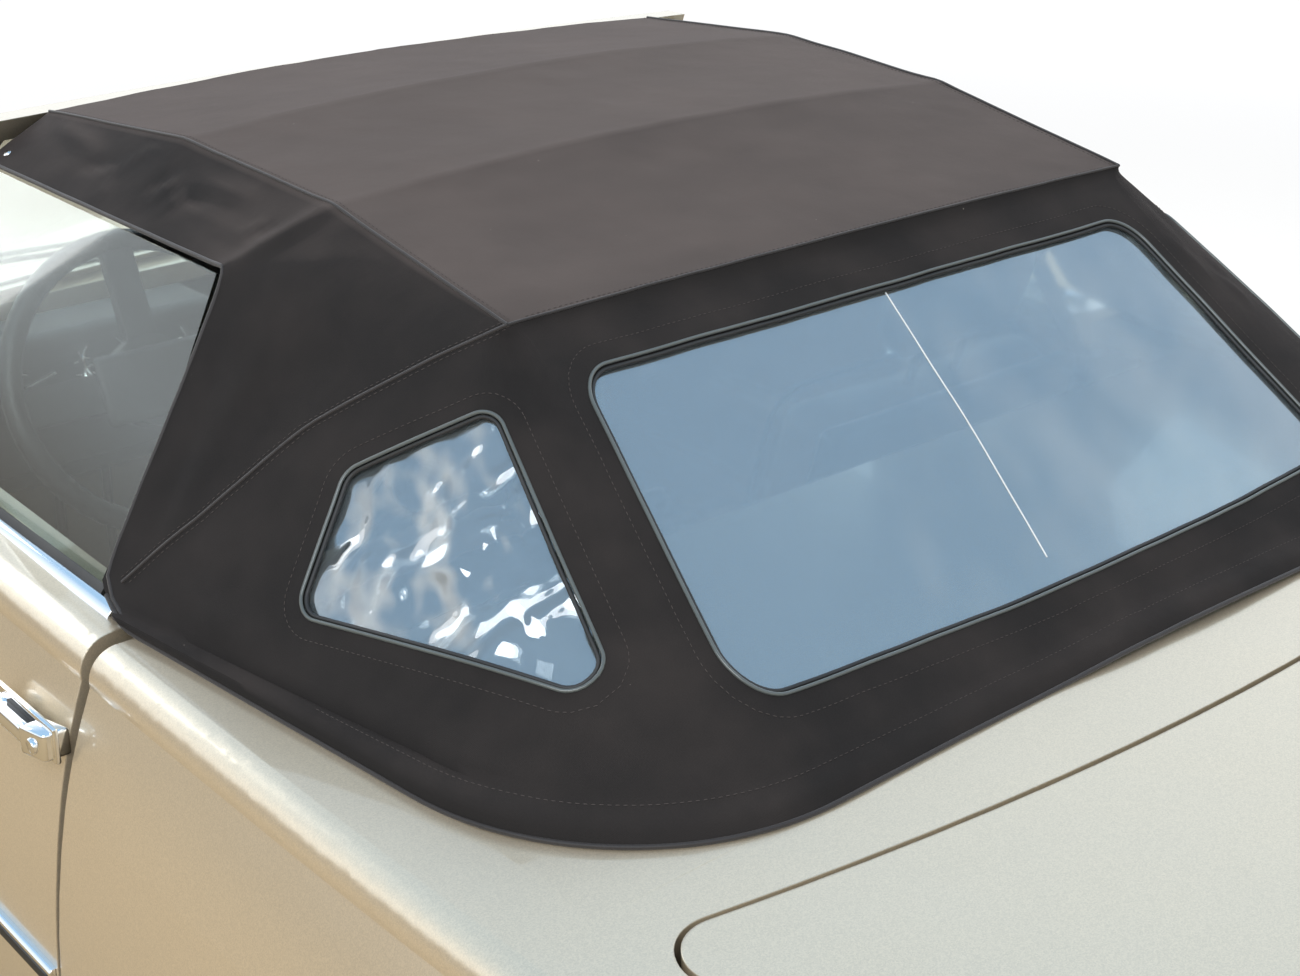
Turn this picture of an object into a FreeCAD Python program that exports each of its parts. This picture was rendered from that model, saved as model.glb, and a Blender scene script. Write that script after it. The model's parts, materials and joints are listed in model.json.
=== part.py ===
"""Two-seat convertible car standing on its wheels with its folding roof up.

Millimetres. The nose points along -Y, the car's left side is +X and the floor is Z = 0.
"""
import FreeCAD, Part
import math, os

import Sketcher
from FreeCAD import Placement, Rotation, Vector

doc = FreeCAD.newDocument("convertible_car")
sheet = doc.addObject("Spreadsheet::Sheet", "sizes")

# Driving sizes: name, value in millimetres or degrees, meaning
SIZES = [
    ("overall_length", 4390, "bumper to bumper"),
    ("half_width", 895, "middle of the car to the widest point of its side"),
    ("wheelbase", 2460, "axle to axle"),
    ("rear_overhang", 1130, "rear axle to the rear bumper"),
    ("bumper_reach", 45, "how far each bumper stands beyond the body"),
    ("belt_height", 913, "top of the door above the floor"),
    ("wall", 45, "thickness of the body's side walls"),
    ("skin", 30, "thickness of bonnet, boot lid and deck"),
    ("floor_wall", 35, "thickness of the floor"),
    ("panel_gap", 6, "gap round doors and lids"),
    ("door_behind_axle", 705, "front axle to the door's front edge"),
    ("door_length", 1135, "length of the door opening"),
    ("door_bottom", 262, "height of the door's lower edge"),
    ("door_inner", 725, "middle of the car to the door's inner face"),
    ("door_taper", 30, "how much shorter the door is inside than outside"),
    ("bonnet_half", 640, "half the width of the bonnet"),
    ("bonnet_front", 70, "nose face to the bonnet's front edge"),
    ("bonnet_behind", 51, "bonnet's rear edge ahead of the door"),
    ("boot_half", 695, "half the width of the boot lid"),
    ("boot_front", 60, "rear axle to the boot lid's front corners"),
    ("boot_bow", 73, "how far the boot lid's front edge bows backwards"),
    ("boot_lip", 792, "height of the boot lid's rear lower edge"),
    ("front_arch", 370, "radius of the front wheel arch"),
    ("rear_arch", 354, "radius of the rear wheel arch"),
    ("arch_wall", 9, "thickness of the wheel housings"),
    ("front_house_inner", 440, "inner face of the front wheel housing"),
    ("rear_house_inner", 575, "inner face of the rear wheel housing"),
    ("track_half", 725, "middle of the car to a wheel's middle"),
    ("tyre_radius", 321, "outer radius of the tyre"),
    ("tyre_width", 205, "width of the tyre"),
    ("tyre_shoulder", 12, "slant of the tyre's shoulders"),
    ("rim_radius", 178, "radius of the rim's tyre seat"),
    ("rim_width", 176, "width of the rim"),
    ("rim_wall", 9, "thickness of the rim's barrel"),
    ("rim_face", 34, "wheel's middle plane to the rim's disc"),
    ("rim_disc", 14, "thickness of the rim's disc"),
    ("hub_radius", 66, "radius of the wheel's hub"),
    ("spindle_radius", 25, "radius of the wheel spindle"),
    ("running_gap", 0.1, "clearance of a shaft or pin in its bore"),
    ("kingpin_in", 45, "wheel's middle to the steering axis"),
    ("ball_radius", 10, "radius of the steering pins"),
    ("roof_base", 903, "height of the roof's lower edge"),
    ("eave_height", 1212, "height of the roof's edge over the side window"),
    ("roof_front", -262, "place of the roof's front edge"),
    ("roof_thickness", 8, "thickness of the roof cloth with its lining"),
    ("glass", 5, "thickness of the windows"),
    ("screen_foot", 712, "half the width of the windscreen at its foot"),
    ("screen_head", 562, "half the width of the windscreen at its head"),
    ("screen_bar", 38, "thickness of the windscreen frame"),
    ("seat_out", 370, "middle of the car to the middle of a seat"),
    ("seat_width", 500, "width of a seat"),
    ("wheel_rim_radius", 195, "radius of the steering wheel"),
    ("column_tilt", 25, "tilt of the steering column in degrees"),
    ("frame_bar", 24, "thickness of the roof frame's bars"),
    ("exhaust_radius", 26, "radius of the exhaust pipe"),
]
for row, (alias, value, meaning) in enumerate(SIZES, start=1):
    sheet.set(f"A{row}", alias)
    sheet.set(f"B{row}", str(value))
    sheet.set(f"C{row}", meaning)
    sheet.setAlias(f"B{row}", alias)
doc.recompute()


def size(alias):
    return float(sheet.get(alias))


# Places along the car, worked out from the driving sizes
NOSE = -size("overall_length") / 2 + size("bumper_reach")
TAIL = size("overall_length") / 2 - size("bumper_reach")
REAR_AXLE = size("overall_length") / 2 - size("rear_overhang")
FRONT_AXLE = REAR_AXLE - size("wheelbase")
DOOR_FRONT = FRONT_AXLE + size("door_behind_axle")
DOOR_REAR = DOOR_FRONT + size("door_length")
HUB_HEIGHT = size("tyre_radius")
BELT = size("belt_height")
HALF = size("half_width")
GAP = size("panel_gap")
REAR_AXLE_TEXT = "(sizes.overall_length / 2 - sizes.rear_overhang)"
FRONT_AXLE_TEXT = f"({REAR_AXLE_TEXT} - sizes.wheelbase)"

parts = []


def keep(node):
    """Lists an object of the document as one named piece of the car."""
    parts.append(node)
    return node


def feature(name, shape):
    """A piece whose shape comes from lofts and cuts of lofts."""
    node = doc.addObject("Part::Feature", name)
    node.Label = name
    node.Shape = shape
    return keep(node)


def primitive(kind, name, sizes, at, turn=None):
    """A Part primitive whose sizes and place are bound to the sheet."""
    node = doc.addObject("Part::" + kind, name)
    node.Label = name
    if turn:
        node.Placement = Placement(Vector(), Rotation(Vector(*turn[0]), turn[1]))
    for prop, text in sizes.items():
        node.setExpression(prop, str(text))
    for axis, text in zip("xyz", at):
        node.setExpression("Placement.Base." + axis, str(text))
    return node


def block(x_range, y_range, z_range):
    (x0, x1), (y0, y1), (z0, z1) = x_range, y_range, z_range
    return Part.makeBox(x1 - x0, y1 - y0, z1 - z0, Vector(x0, y0, z0))


def rounded(shape, radius):
    """A solid with every edge rounded."""
    return shape.makeFillet(radius, shape.Edges)


def prism(points, along):
    """The outline through the points, drawn out along a vector."""
    face = Part.Face(Part.makePolygon([Vector(*p) for p in points + points[:1]]))
    return face.extrude(Vector(*along))


def mirrored(shape):
    return shape.mirror(Vector(), Vector(1, 0, 0))


def both_sides(shape):
    return Part.makeCompound([shape, mirrored(shape)])


def cylinder_x(radius, x_from, x_to, y, z):
    return Part.makeCylinder(radius, x_to - x_from, Vector(x_from, y, z), Vector(1, 0, 0))


def arc(start, middle, end):
    return Part.Arc(Vector(*start), Vector(*middle), Vector(*end)).toShape()


def line(start, end):
    return Part.makeLine(Vector(*start), Vector(*end))


# The body's cross-sections, from nose to tail. Columns:
# place, crown drop, shoulder drop, shoulder inset, crease drop, crease inset, side inset,
# knee height, knee inset, underside height, underside inset
# Drops are below the belt, insets are in from the widest point, heights are above the floor.
STATIONS = [
    (NOSE, 141, 161, 205, 223, 140, 105, 330, 120, 250, 195),
    (NOSE + 90, 125, 141, 160, 198, 80, 45, 330, 63, 235, 135),
    (NOSE + 300, 101, 113, 133, 183, 47, 15, 310, 33, 215, 95),
    (FRONT_AXLE, 57, 68, 120, 171, 33, 4, 290, 23, 200, 83),
    (DOOR_FRONT, -12, 8, 103, 163, 29, 2, 280, 20, 190, 77),
    (DOOR_REAR, 1, 5, 100, 163, 29, 2, 280, 20, 190, 77),
    (REAR_AXLE, 7, 16, 112, 163, 33, 4, 290, 23, 200, 83),
    (TAIL - 550, 20, 33, 138, 168, 45, 14, 300, 33, 230, 95),
    (TAIL - 150, 40, 55, 160, 188, 68, 36, 320, 55, 270, 125),
    (TAIL, 58, 72, 200, 206, 115, 82, 340, 98, 300, 170),
]
SIDE_HEIGHT = 560
SHOULDER_ROUND = (31, 37)
BULGE = 4


def body_section(station, y, side_in, top_in, floor_in):
    """One closed cross-section of the body, its walls moved inwards by the three insets."""
    _, crown, sh_z, sh_x, cr_z, cr_x, side_x, knee_z, knee_x, under_z, under_x = station
    half = HALF - side_in
    top = BELT - top_in
    shoulder = (half - sh_x, top - sh_z)
    edge = (shoulder[0] + SHOULDER_ROUND[0], shoulder[1] - SHOULDER_ROUND[1])
    on_round = (shoulder[0] + 0.72 * SHOULDER_ROUND[0], shoulder[1] - 0.27 * SHOULDER_ROUND[1])
    crease = (half - cr_x, BELT - cr_z)
    side = (half - side_x, SIDE_HEIGHT)
    knee = (half - knee_x, knee_z + floor_in / 2)
    under = (half - under_x, under_z + floor_in)

    def at(p, sign=1):
        return (sign * p[0], y, p[1])

    def bulged(a, b, out):
        return ((a[0] + b[0]) / 2 + out, (a[1] + b[1]) / 2)

    def flank(sign):
        pairs = [(under, knee, None), (knee, side, BULGE), (side, crease, BULGE), (crease, edge, BULGE - 1)]
        edges = []
        for a, b, out in pairs:
            if out is None:
                edges.append(line(at(a, sign), at(b, sign)))
            else:
                edges.append(arc(at(a, sign), at(bulged(a, b, out), sign), at(b, sign)))
        edges.append(arc(at(edge, sign), at(on_round, sign), at(shoulder, sign)))
        return edges

    right = flank(1)
    roof = arc(at(shoulder), (0, y, top - crown), at(shoulder, -1))
    left = flank(-1)[::-1]
    bottom = line(at(under, -1), at(under))
    return Part.Wire(right + [roof] + left + [bottom])


def body_solid(side_in=0, top_in=0, floor_in=0, end_in=0):
    """The whole lower body as one smooth loft, optionally moved inwards."""
    wires = []
    for station in STATIONS:
        y = station[0]
        if station is STATIONS[0]:
            y += end_in
        if station is STATIONS[-1]:
            y -= end_in
        wires.append(body_section(station, y, side_in, top_in, floor_in))
    return Part.makeLoft(wires, True, False)


outer_body = body_solid()
inner_body = body_solid(size("wall"), size("skin"), size("floor_wall"), size("wall"))
shell = outer_body.cut(inner_body)

FAR = 3000
EVERY_X = (-FAR, FAR)
EVERY_Z = (-FAR, FAR)
BONNET_FRONT = NOSE + size("bonnet_front")
BONNET_REAR = DOOR_FRONT - size("bonnet_behind")
BOOT_CORNER = REAR_AXLE + size("boot_front")
NOSE_SEAM = NOSE + 90
SCUTTLE_REAR = DOOR_FRONT + 130
WELL_FRONT = DOOR_REAR + 155
WELL_REAR = REAR_AXLE + 20
WELL_HALF = 715
BULKHEAD = DOOR_REAR + 115


TOW_RADIUS, TOW_PLATE, TOW_X, TOW_EDGE = 15, 12, 375, 17
TOW_FRONT_HEIGHT, TOW_REAR_HEIGHT = 198, 236


def tow_eye(y, height, top):
    """A pierced plate that hangs under the body, on the +X side."""
    half, reach = TOW_PLATE / 2, TOW_RADIUS + TOW_EDGE
    plate = block((TOW_X - half, TOW_X + half), (y - reach, y + reach), (height - reach, top))
    return plate.cut(cylinder_x(TOW_RADIUS, TOW_X - TOW_PLATE, TOW_X + TOW_PLATE, y, height))


def arch_cut(axle, radius, inner):
    return both_sides(cylinder_x(radius, inner, FAR, axle, HUB_HEIGHT))


def wheel_house(axle, radius, inner, wall_from):
    """A half-round housing over a wheel with its inner wall, on the +X side."""
    skin = size("arch_wall")
    tunnel = cylinder_x(radius + skin, inner, FAR, axle, HUB_HEIGHT)
    tunnel = tunnel.cut(cylinder_x(radius, inner + skin, FAR, axle, HUB_HEIGHT))
    tunnel = tunnel.cut(block(EVERY_X, (-FAR, FAR), (-FAR, HUB_HEIGHT + 20)))
    tunnel = tunnel.cut(block((-FAR, inner + skin), (-FAR, FAR), (-FAR, wall_from)))
    return tunnel.common(outer_body)


def plan_outline(half, front, rear, bow, corner, z_range):
    """A lid's outline in plan with a bowed front edge and rounded front corners."""
    z0 = z_range[0]
    solid = Part.Wire([
        arc((-half, front, z0), (0, front + bow, z0), (half, front, z0)),
        line((half, front, z0), (half, rear, z0)),
        line((half, rear, z0), (-half, rear, z0)),
        line((-half, rear, z0), (-half, front, z0)),
    ])
    solid = Part.Face(solid).extrude(Vector(0, 0, z_range[1] - z0))
    upright = [
        e for e in solid.Edges
        if abs(e.Vertexes[0].Z - e.Vertexes[-1].Z) > 1 and abs(e.Vertexes[0].Y - front) < 1
    ]
    return solid.makeFillet(corner, upright)


def make_bonnet():
    outline = block(
        (-size("bonnet_half"), size("bonnet_half")), (BONNET_FRONT, BONNET_REAR), (600, FAR)
    )
    return shell.common(outline)


def make_boot_lid():
    outline = plan_outline(
        size("boot_half"), BOOT_CORNER + GAP, FAR, size("boot_bow"), 42, (size("boot_lip"), FAR)
    )
    return shell.common(outline)


def bonnet_opening():
    half = size("bonnet_half") + GAP
    return block((-half, half), (BONNET_FRONT - GAP, BONNET_REAR + GAP), (500, FAR))


def boot_opening():
    return plan_outline(
        size("boot_half") + GAP, BOOT_CORNER, FAR, size("boot_bow"), 48,
        (size("boot_lip") - GAP, FAR),
    )


def make_front_wing():
    """The left front wing with its wheel housing."""
    radius, inner = size("front_arch"), size("front_house_inner")
    zone = block((0, FAR), (NOSE_SEAM, DOOR_FRONT), EVERY_Z)
    wing = shell.common(zone).cut(bonnet_opening())
    wing = wing.cut(block((-FAR, 700), (-FAR, FAR), (-FAR, 500)))
    wing = wing.cut(arch_cut(FRONT_AXLE, radius, inner))
    wing = wing.cut(block((-FAR, size("bonnet_half") + GAP), (BONNET_REAR, DOOR_FRONT), EVERY_Z))
    house = wheel_house(FRONT_AXLE, radius, inner, HUB_HEIGHT + 190)
    house = house.common(block((0, FAR), (NOSE_SEAM, DOOR_FRONT), EVERY_Z))
    house = house.cut(bonnet_keepout)
    return wing.fuse(house)


bonnet_keepout = outer_body.cut(body_solid(0, size("skin") + GAP, 0, 0)).common(
    block((-size("bonnet_half") - GAP, size("bonnet_half") + GAP), (NOSE, BONNET_REAR + GAP), (600, FAR))
)

LAMP_IN, LAMP_OUT = 392, 790
LAMP_LOW, LAMP_HIGH = 520, 694
GRILLE_HALF, GRILLE_LOW, GRILLE_HIGH = 345, 462, 706


def make_nose():
    """The front panel with openings for the grille and the headlamps."""
    nose = shell.common(block(EVERY_X, (-FAR, NOSE_SEAM), EVERY_Z)).cut(bonnet_opening())
    nose = nose.cut(block((-GRILLE_HALF, GRILLE_HALF), (-FAR, NOSE_SEAM), (GRILLE_LOW, GRILLE_HIGH)))
    nose = nose.cut(both_sides(block((LAMP_IN, LAMP_OUT), (-FAR, NOSE_SEAM + 1), (LAMP_LOW, LAMP_HIGH))))
    return nose.cut(both_sides(block((150, 560), (-FAR, NOSE_SEAM), (275, 345))))


def make_grille():
    """A bright frame with level slats and one upright in the middle."""
    face, deep, frame = NOSE - 4, 44, 16
    outer = block((-GRILLE_HALF, GRILLE_HALF), (face, face + deep), (GRILLE_LOW, GRILLE_HIGH))
    hole = block(
        (-GRILLE_HALF + frame, GRILLE_HALF - frame), (face - 1, face + deep + 1),
        (GRILLE_LOW + frame, GRILLE_HIGH - frame),
    )
    grille = outer.cut(hole)
    slats, slat = 7, 9
    step = (GRILLE_HIGH - GRILLE_LOW - 2 * frame) / (slats + 1)
    for number in range(slats):
        z = GRILLE_LOW + frame + step * (number + 1)
        grille = grille.fuse(block(
            (-GRILLE_HALF + frame, GRILLE_HALF - frame), (face + 6, face + 34),
            (z - slat / 2, z + slat / 2),
        ))
    upright = block((-11, 11), (face + 3, face + 36), (GRILLE_LOW + frame, GRILLE_HIGH - frame))
    return grille.fuse(upright).removeSplitter()


def make_headlamps():
    """Two wide lamps that fill the openings of the nose, their lenses flush with it."""
    lamp = outer_body.common(block((LAMP_IN, LAMP_OUT), (-FAR, NOSE_SEAM), (LAMP_LOW, LAMP_HIGH)))
    return both_sides(lamp)


TAIL_LAMP_IN, TAIL_LAMP_OUT = 455, 815
TAIL_LAMP_LOW, TAIL_LAMP_HIGH = 610, 752
TAIL_LAMP_DEPTH = 75


def make_tail_lamps():
    """Two wide ribbed lamps that wrap round the tail's corners."""
    lamp = outer_body.common(block(
        (TAIL_LAMP_IN, FAR), (TAIL - TAIL_LAMP_DEPTH, FAR), (TAIL_LAMP_LOW, TAIL_LAMP_HIGH)
    ))
    ribs, rib = 5, 9
    step = (TAIL_LAMP_HIGH - TAIL_LAMP_LOW) / ribs
    for number in range(1, ribs):
        z = TAIL_LAMP_LOW + step * number
        groove = block((TAIL_LAMP_IN - 1, FAR), (TAIL - 7, FAR), (z - rib / 2, z + rib / 2))
        lamp = lamp.cut(groove)
    return both_sides(lamp)


# Level at which the rear sides stand on the rear floor
REAR_SPLIT = 345
# The raised field for the rear plate: half width, lower edge, upper edge, how far it stands out
PLATE_HALF, PLATE_LOW, PLATE_HIGH, PLATE_PROUD = 260, 600, 712, 3


def make_rear_body():
    """Rear sides, deck and tail as one welded shell above the rear floor."""
    body = shell.common(block(EVERY_X, (DOOR_REAR, FAR), (REAR_SPLIT, FAR))).cut(boot_opening())
    body = body.cut(block((-WELL_HALF, WELL_HALF), (DOOR_REAR - 1, WELL_REAR), (600, FAR)))
    body = body.cut(both_sides(block(
        (TAIL_LAMP_IN, FAR), (TAIL - TAIL_LAMP_DEPTH, FAR), (TAIL_LAMP_LOW, TAIL_LAMP_HIGH)
    )))
    body = body.cut(arch_cut(REAR_AXLE, size("rear_arch"), size("rear_house_inner")))
    field = block((-PLATE_HALF, PLATE_HALF), (TAIL - size("wall") / 2, TAIL + PLATE_PROUD),
                  (PLATE_LOW, PLATE_HIGH))
    return body.fuse(field)


ARM_CLEARANCE = 45
TUB_FRONT, TUB_REAR, TUB_TOP, SHEET_METAL = REAR_AXLE - 345, REAR_AXLE + 360, 492, 12


def make_rear_floor():
    """Floor behind the seats with the rear tow eyes, open where the tub stands over the axle."""
    inner = size("rear_house_inner")
    floor = shell.common(block(EVERY_X, (DOOR_REAR, FAR), (-FAR, REAR_SPLIT)))
    floor = floor.cut(block((-inner, inner), (TUB_FRONT, TUB_REAR), (-FAR, TUB_TOP)))
    eye = tow_eye(TAIL - 150, TOW_REAR_HEIGHT, 330).cut(inner_body)
    floor = floor.cut(arch_cut(REAR_AXLE, size("rear_arch"), inner))
    return floor.fuse([eye, mirrored(eye)])


def make_axle_tub():
    """The raised floor over the rear axle."""
    inner = size("rear_house_inner")
    tub = block((-inner, inner), (TUB_FRONT, TUB_REAR), (210, TUB_TOP + SHEET_METAL))
    return tub.cut(block(
        (-inner, inner), (TUB_FRONT + SHEET_METAL, TUB_REAR - SHEET_METAL), (0, TUB_TOP)
    ))


def make_rear_bulkheads():
    """The wall behind the seats and the wall between the roof's well and the boot."""
    front = inner_body.common(block(EVERY_X, (BULKHEAD, BULKHEAD + SHEET_METAL), (200, BELT - 45)))
    rear = inner_body.common(block(
        (-WELL_HALF, WELL_HALF), (WELL_REAR, WELL_REAR + SHEET_METAL), (TUB_TOP + SHEET_METAL, BELT)
    ))
    return front, rear.cut(arch_cut(REAR_AXLE, size("rear_arch"), size("rear_house_inner")))


def make_well_lid():
    """The metal lid over the folded roof's well, between the seats and the boot."""
    return shell.common(block((-WELL_HALF, WELL_HALF), (WELL_FRONT, WELL_REAR), (600, FAR)))


JACK_FROM_END, JACK_IN, JACK_HEIGHT = 150, 690, 178


def make_floor():
    """Floor, sills and tunnel between the wings and the rear body."""
    floor = shell.common(block(EVERY_X, (DOOR_FRONT, DOOR_REAR), (-FAR, size("door_bottom") - GAP)))
    sill = block((640, size("door_inner") - GAP), (DOOR_FRONT, DOOR_REAR), (200, 335))
    tunnel = block((-112, 112), (DOOR_FRONT, BULKHEAD), (200, 420))
    tunnel = tunnel.cut(block((-100, 100), (DOOR_FRONT, BULKHEAD), (0, 408)))
    floor = floor.cut(block((-100, 100), (DOOR_FRONT, DOOR_REAR), (0, 300)))
    tunnel = tunnel.cut(block(EVERY_X, (DOOR_REAR, FAR), (0, 240)))
    tunnel = tunnel.cut(shell.common(block(EVERY_X, (DOOR_REAR, FAR), (-FAR, 300))))
    pieces = [sill, mirrored(sill), tunnel]
    for y in (DOOR_FRONT + JACK_FROM_END, DOOR_REAR - JACK_FROM_END):
        pad = block((JACK_IN, JACK_IN + 60), (y - 40, y + 40), (JACK_HEIGHT, 205))
        pieces += [pad, mirrored(pad)]
    return floor.fuse(pieces)


def make_scuttle():
    """The panel below the windscreen, with the firewall under it."""
    inner_edge = size("bonnet_half") + GAP
    top = shell.common(block((-inner_edge, inner_edge), (BONNET_REAR + GAP, DOOR_FRONT), (600, FAR)))
    sides = size("door_inner") - GAP
    top = top.fuse(shell.common(block((-sides, sides), (DOOR_FRONT, SCUTTLE_REAR), (600, FAR))))
    wall = inner_body.common(block((-sides, sides), (DOOR_FRONT, DOOR_FRONT + 14), (0, FAR)))
    wall = wall.cut(block((-112, 112), (-FAR, FAR), (0, 420)))
    wall = wall.cut(both_sides(block((640, FAR), (-FAR, FAR), (0, 335))))
    return top.fuse(wall).removeSplitter()


def make_door():
    """The left door, solid from its outer skin to its inner face."""
    inner, front, rear = size("door_inner"), DOOR_FRONT + GAP, DOOR_REAR - GAP
    plan = [
        (inner, front, size("door_bottom")), (FAR, front, size("door_bottom")),
        (FAR, rear, size("door_bottom")), (HALF, rear, size("door_bottom")),
        (inner, rear - size("door_taper"), size("door_bottom")),
    ]
    door = outer_body.common(prism(plan, (0, 0, FAR)))
    return door.cut(window_slab(size("running_gap")))


GLASS_SILL_X, GLASS_SILL = 745, 925
GLASS_HEAD_X, GLASS_HEAD = 576, 1206
GLASS_DEPTH = 880


def glass_x(z):
    return GLASS_SILL_X + (GLASS_HEAD_X - GLASS_SILL_X) * (z - GLASS_SILL) / (GLASS_HEAD - GLASS_SILL)


def glass_rear(z):
    """The rear edge of the side window at a height, just ahead of the roof cloth."""
    return ROOF_EDGE_TOP + (ROOF_EDGE_FOOT - ROOF_EDGE_TOP) * (size("eave_height") - z) / 291 - 10


def window_slab(grow=0.0):
    """The left side window, or the slot that it stands in."""
    low, high = GLASS_DEPTH - grow, GLASS_HEAD
    outline = [
        (-553 - grow, low), (glass_rear(GLASS_DEPTH) + grow, low),
        (glass_rear(high) + grow, high), (-292 - grow, high),
    ]
    tilt = Vector(GLASS_SILL - GLASS_HEAD, 0, GLASS_HEAD_X - GLASS_SILL_X).normalize()
    points = [(glass_x(z) - tilt.x * grow, y, z - tilt.z * grow) for y, z in outline]
    along = tilt * (size("glass") + 2 * grow)
    return prism(points, (along.x, along.y, along.z))


def make_screen():
    """The windscreen's frame and its curved glass."""
    foot, head, bar = size("screen_foot"), size("screen_head"), size("screen_bar")
    foot_y, head_y = DOOR_FRONT + 90, size("roof_front") - bar
    low, high = BELT - 33, 1256

    def band(x, y, z, bow, front, deep):
        ends = y + front
        start, middle, end = (x, ends, z), (0, ends - bow, z), (-x, ends, z)
        back = [(p[0], p[1] + deep, z) for p in (end, middle, start)]
        return Part.Wire([
            arc(start, middle, end), line(end, back[0]), arc(*back), line(back[2], start)
        ])

    def slab(front, deep):
        wires = [band(foot, foot_y, low, 110, front, deep), band(head, head_y, high, 34, front, deep)]
        return Part.makeLoft(wires, True, True).cut(outer_body)

    side_bar = 34
    hole = prism([
        (side_bar - foot, -FAR, BELT + 26), (foot - side_bar, -FAR, BELT + 26),
        (head - side_bar + 8, -FAR, high - 32), (side_bar - 8 - head, -FAR, high - 32),
    ], (0, 2 * FAR, 0))
    frame = slab(0, bar).cut(hole)
    frame = frame.cut(block(EVERY_X, (size("roof_front"), FAR), EVERY_Z))
    pane = slab(12, size("glass")).common(hole)
    return frame, pane


# The roof's outline at its foot and at its eave: front, kink and rear half width, kink, rear, corner
ROOF_FOOT = {"front_x": 800, "kink_x": 797, "rear_x": 697, "kink": 310, "rear": 1096, "corner": 275}
ROOF_EAVE = {"front_x": 574, "kink_x": 569, "rear_x": 466, "kink": 310, "rear": 648, "corner": 30}
# The bows over the roof: place, seam half width, seam height, crown height
BOWS = [(size("roof_front"), 486, 1259, 1273), (60, 472, 1284, 1305), (352, 463, 1269, 1288), (644, 462, 1218, 1222)]
ROOF_EDGE_TOP, ROOF_EDGE_FOOT = 310, 366


def roof_level(share, inset):
    """The roof's outline in plan at a share of the way from its foot to its eave."""
    v = {k: ROOF_FOOT[k] + (ROOF_EAVE[k] - ROOF_FOOT[k]) * share for k in ROOF_FOOT}
    z = size("roof_base") + (size("eave_height") - size("roof_base")) * share
    front = size("roof_front")
    start, kink = Vector(v["front_x"] - inset, front, z), Vector(v["kink_x"] - inset, v["kink"], z)
    corner = Vector(v["rear_x"] - inset, v["rear"] - inset, z)
    radius = v["corner"] - inset * 0.5
    along, back = (kink - corner).normalize(), Vector(-1, 0, 0)
    half_angle = along.getAngle(back) / 2
    reach = radius / math.tan(half_angle)
    bisector = (along + back).normalize()
    first, last = corner + along * reach, corner + back * reach
    middle = corner + bisector * (radius / math.sin(half_angle) - radius)

    def flip(p):
        return Vector(-p.x, p.y, p.z)

    return Part.Wire([
        Part.makeLine(start, kink), Part.makeLine(kink, first),
        Part.Arc(first, middle, last).toShape(), Part.makeLine(last, flip(last)),
        Part.Arc(flip(last), flip(middle), flip(first)).toShape(),
        Part.makeLine(flip(first), flip(kink)), Part.makeLine(flip(kink), flip(start)),
        Part.makeLine(flip(start), start),
    ])


def roof_sides(inset):
    """The sloping sides and back of the roof, filled solid."""
    return Part.makeLoft([roof_level(-0.12, inset), roof_level(1, inset)], True, True)


def roof_cap(side_in, top_in):
    """The roof above its eave, filled solid, stretched from bow to bow."""
    eave = size("eave_height") - 2 * top_in
    feet = [
        (size("roof_front"), ROOF_EAVE["front_x"]), (60, 572),
        (ROOF_EAVE["kink"], ROOF_EAVE["kink_x"]), (ROOF_EAVE["rear"] - side_in * 0.3, ROOF_EAVE["rear_x"]),
    ]
    wires = []
    for (y, seam_x, seam_z, crown), (foot_y, foot_x) in zip(BOWS, feet):
        if foot_x == ROOF_EAVE["rear_x"]:
            y = foot_y
        seam = Vector(seam_x - side_in, y, seam_z - top_in)
        foot = Vector(foot_x - side_in, foot_y, eave)
        far_seam, far_foot = Vector(-seam.x, seam.y, seam.z), Vector(-foot.x, foot.y, foot.z)
        wires.append(Part.Wire([
            Part.makeLine(foot, seam),
            Part.Arc(seam, Vector(0, y, crown - top_in), far_seam).toShape(),
            Part.makeLine(far_seam, far_foot), Part.makeLine(far_foot, foot),
        ]))
    return Part.makeLoft(wires, True, True)


def rear_window_prism():
    """The rear window's outline, drawn upwards."""
    top, foot = (411, 701), (461, 1003)
    outline = Part.Wire([
        line((-top[0], top[1], 900), (top[0], top[1], 900)),
        line((top[0], top[1], 900), (foot[0], foot[1], 900)),
        arc((foot[0], foot[1], 900), (0, foot[1] + 14, 900), (-foot[0], foot[1], 900)),
        line((-foot[0], foot[1], 900), (-top[0], top[1], 900)),
    ])
    solid = Part.Face(outline).extrude(Vector(0, 0, 400))
    upright = [e for e in solid.Edges if abs(e.Vertexes[0].Z - e.Vertexes[-1].Z) > 1]
    return solid.makeFillet(42, upright)


# Corners of the left quarter window on the roof's surface
QUARTER_WINDOW = [(560, 690, 1145), (640, 565, 1080), (735, 575, 965), (570, 935, 985)]


def quarter_window_prism():
    """The left quarter window's outline, drawn along its own outward normal."""
    corners = [Vector(*p) for p in QUARTER_WINDOW]
    normal = (corners[2] - corners[0]).cross(corners[3] - corners[1]).normalize()
    if normal.z < 0:
        normal = -normal
    middle = sum(corners, Vector()) * 0.25
    flat = [p - normal * normal.dot(p - middle) for p in corners]
    base = [p - normal * 150 for p in flat]
    solid = Part.Face(Part.makePolygon(base + base[:1])).extrude(normal * 300)
    upright = [e for e in solid.Edges if abs(e.tangentAt(e.FirstParameter).dot(normal)) > 0.99]
    return solid.makeFillet(26, upright)


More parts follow.
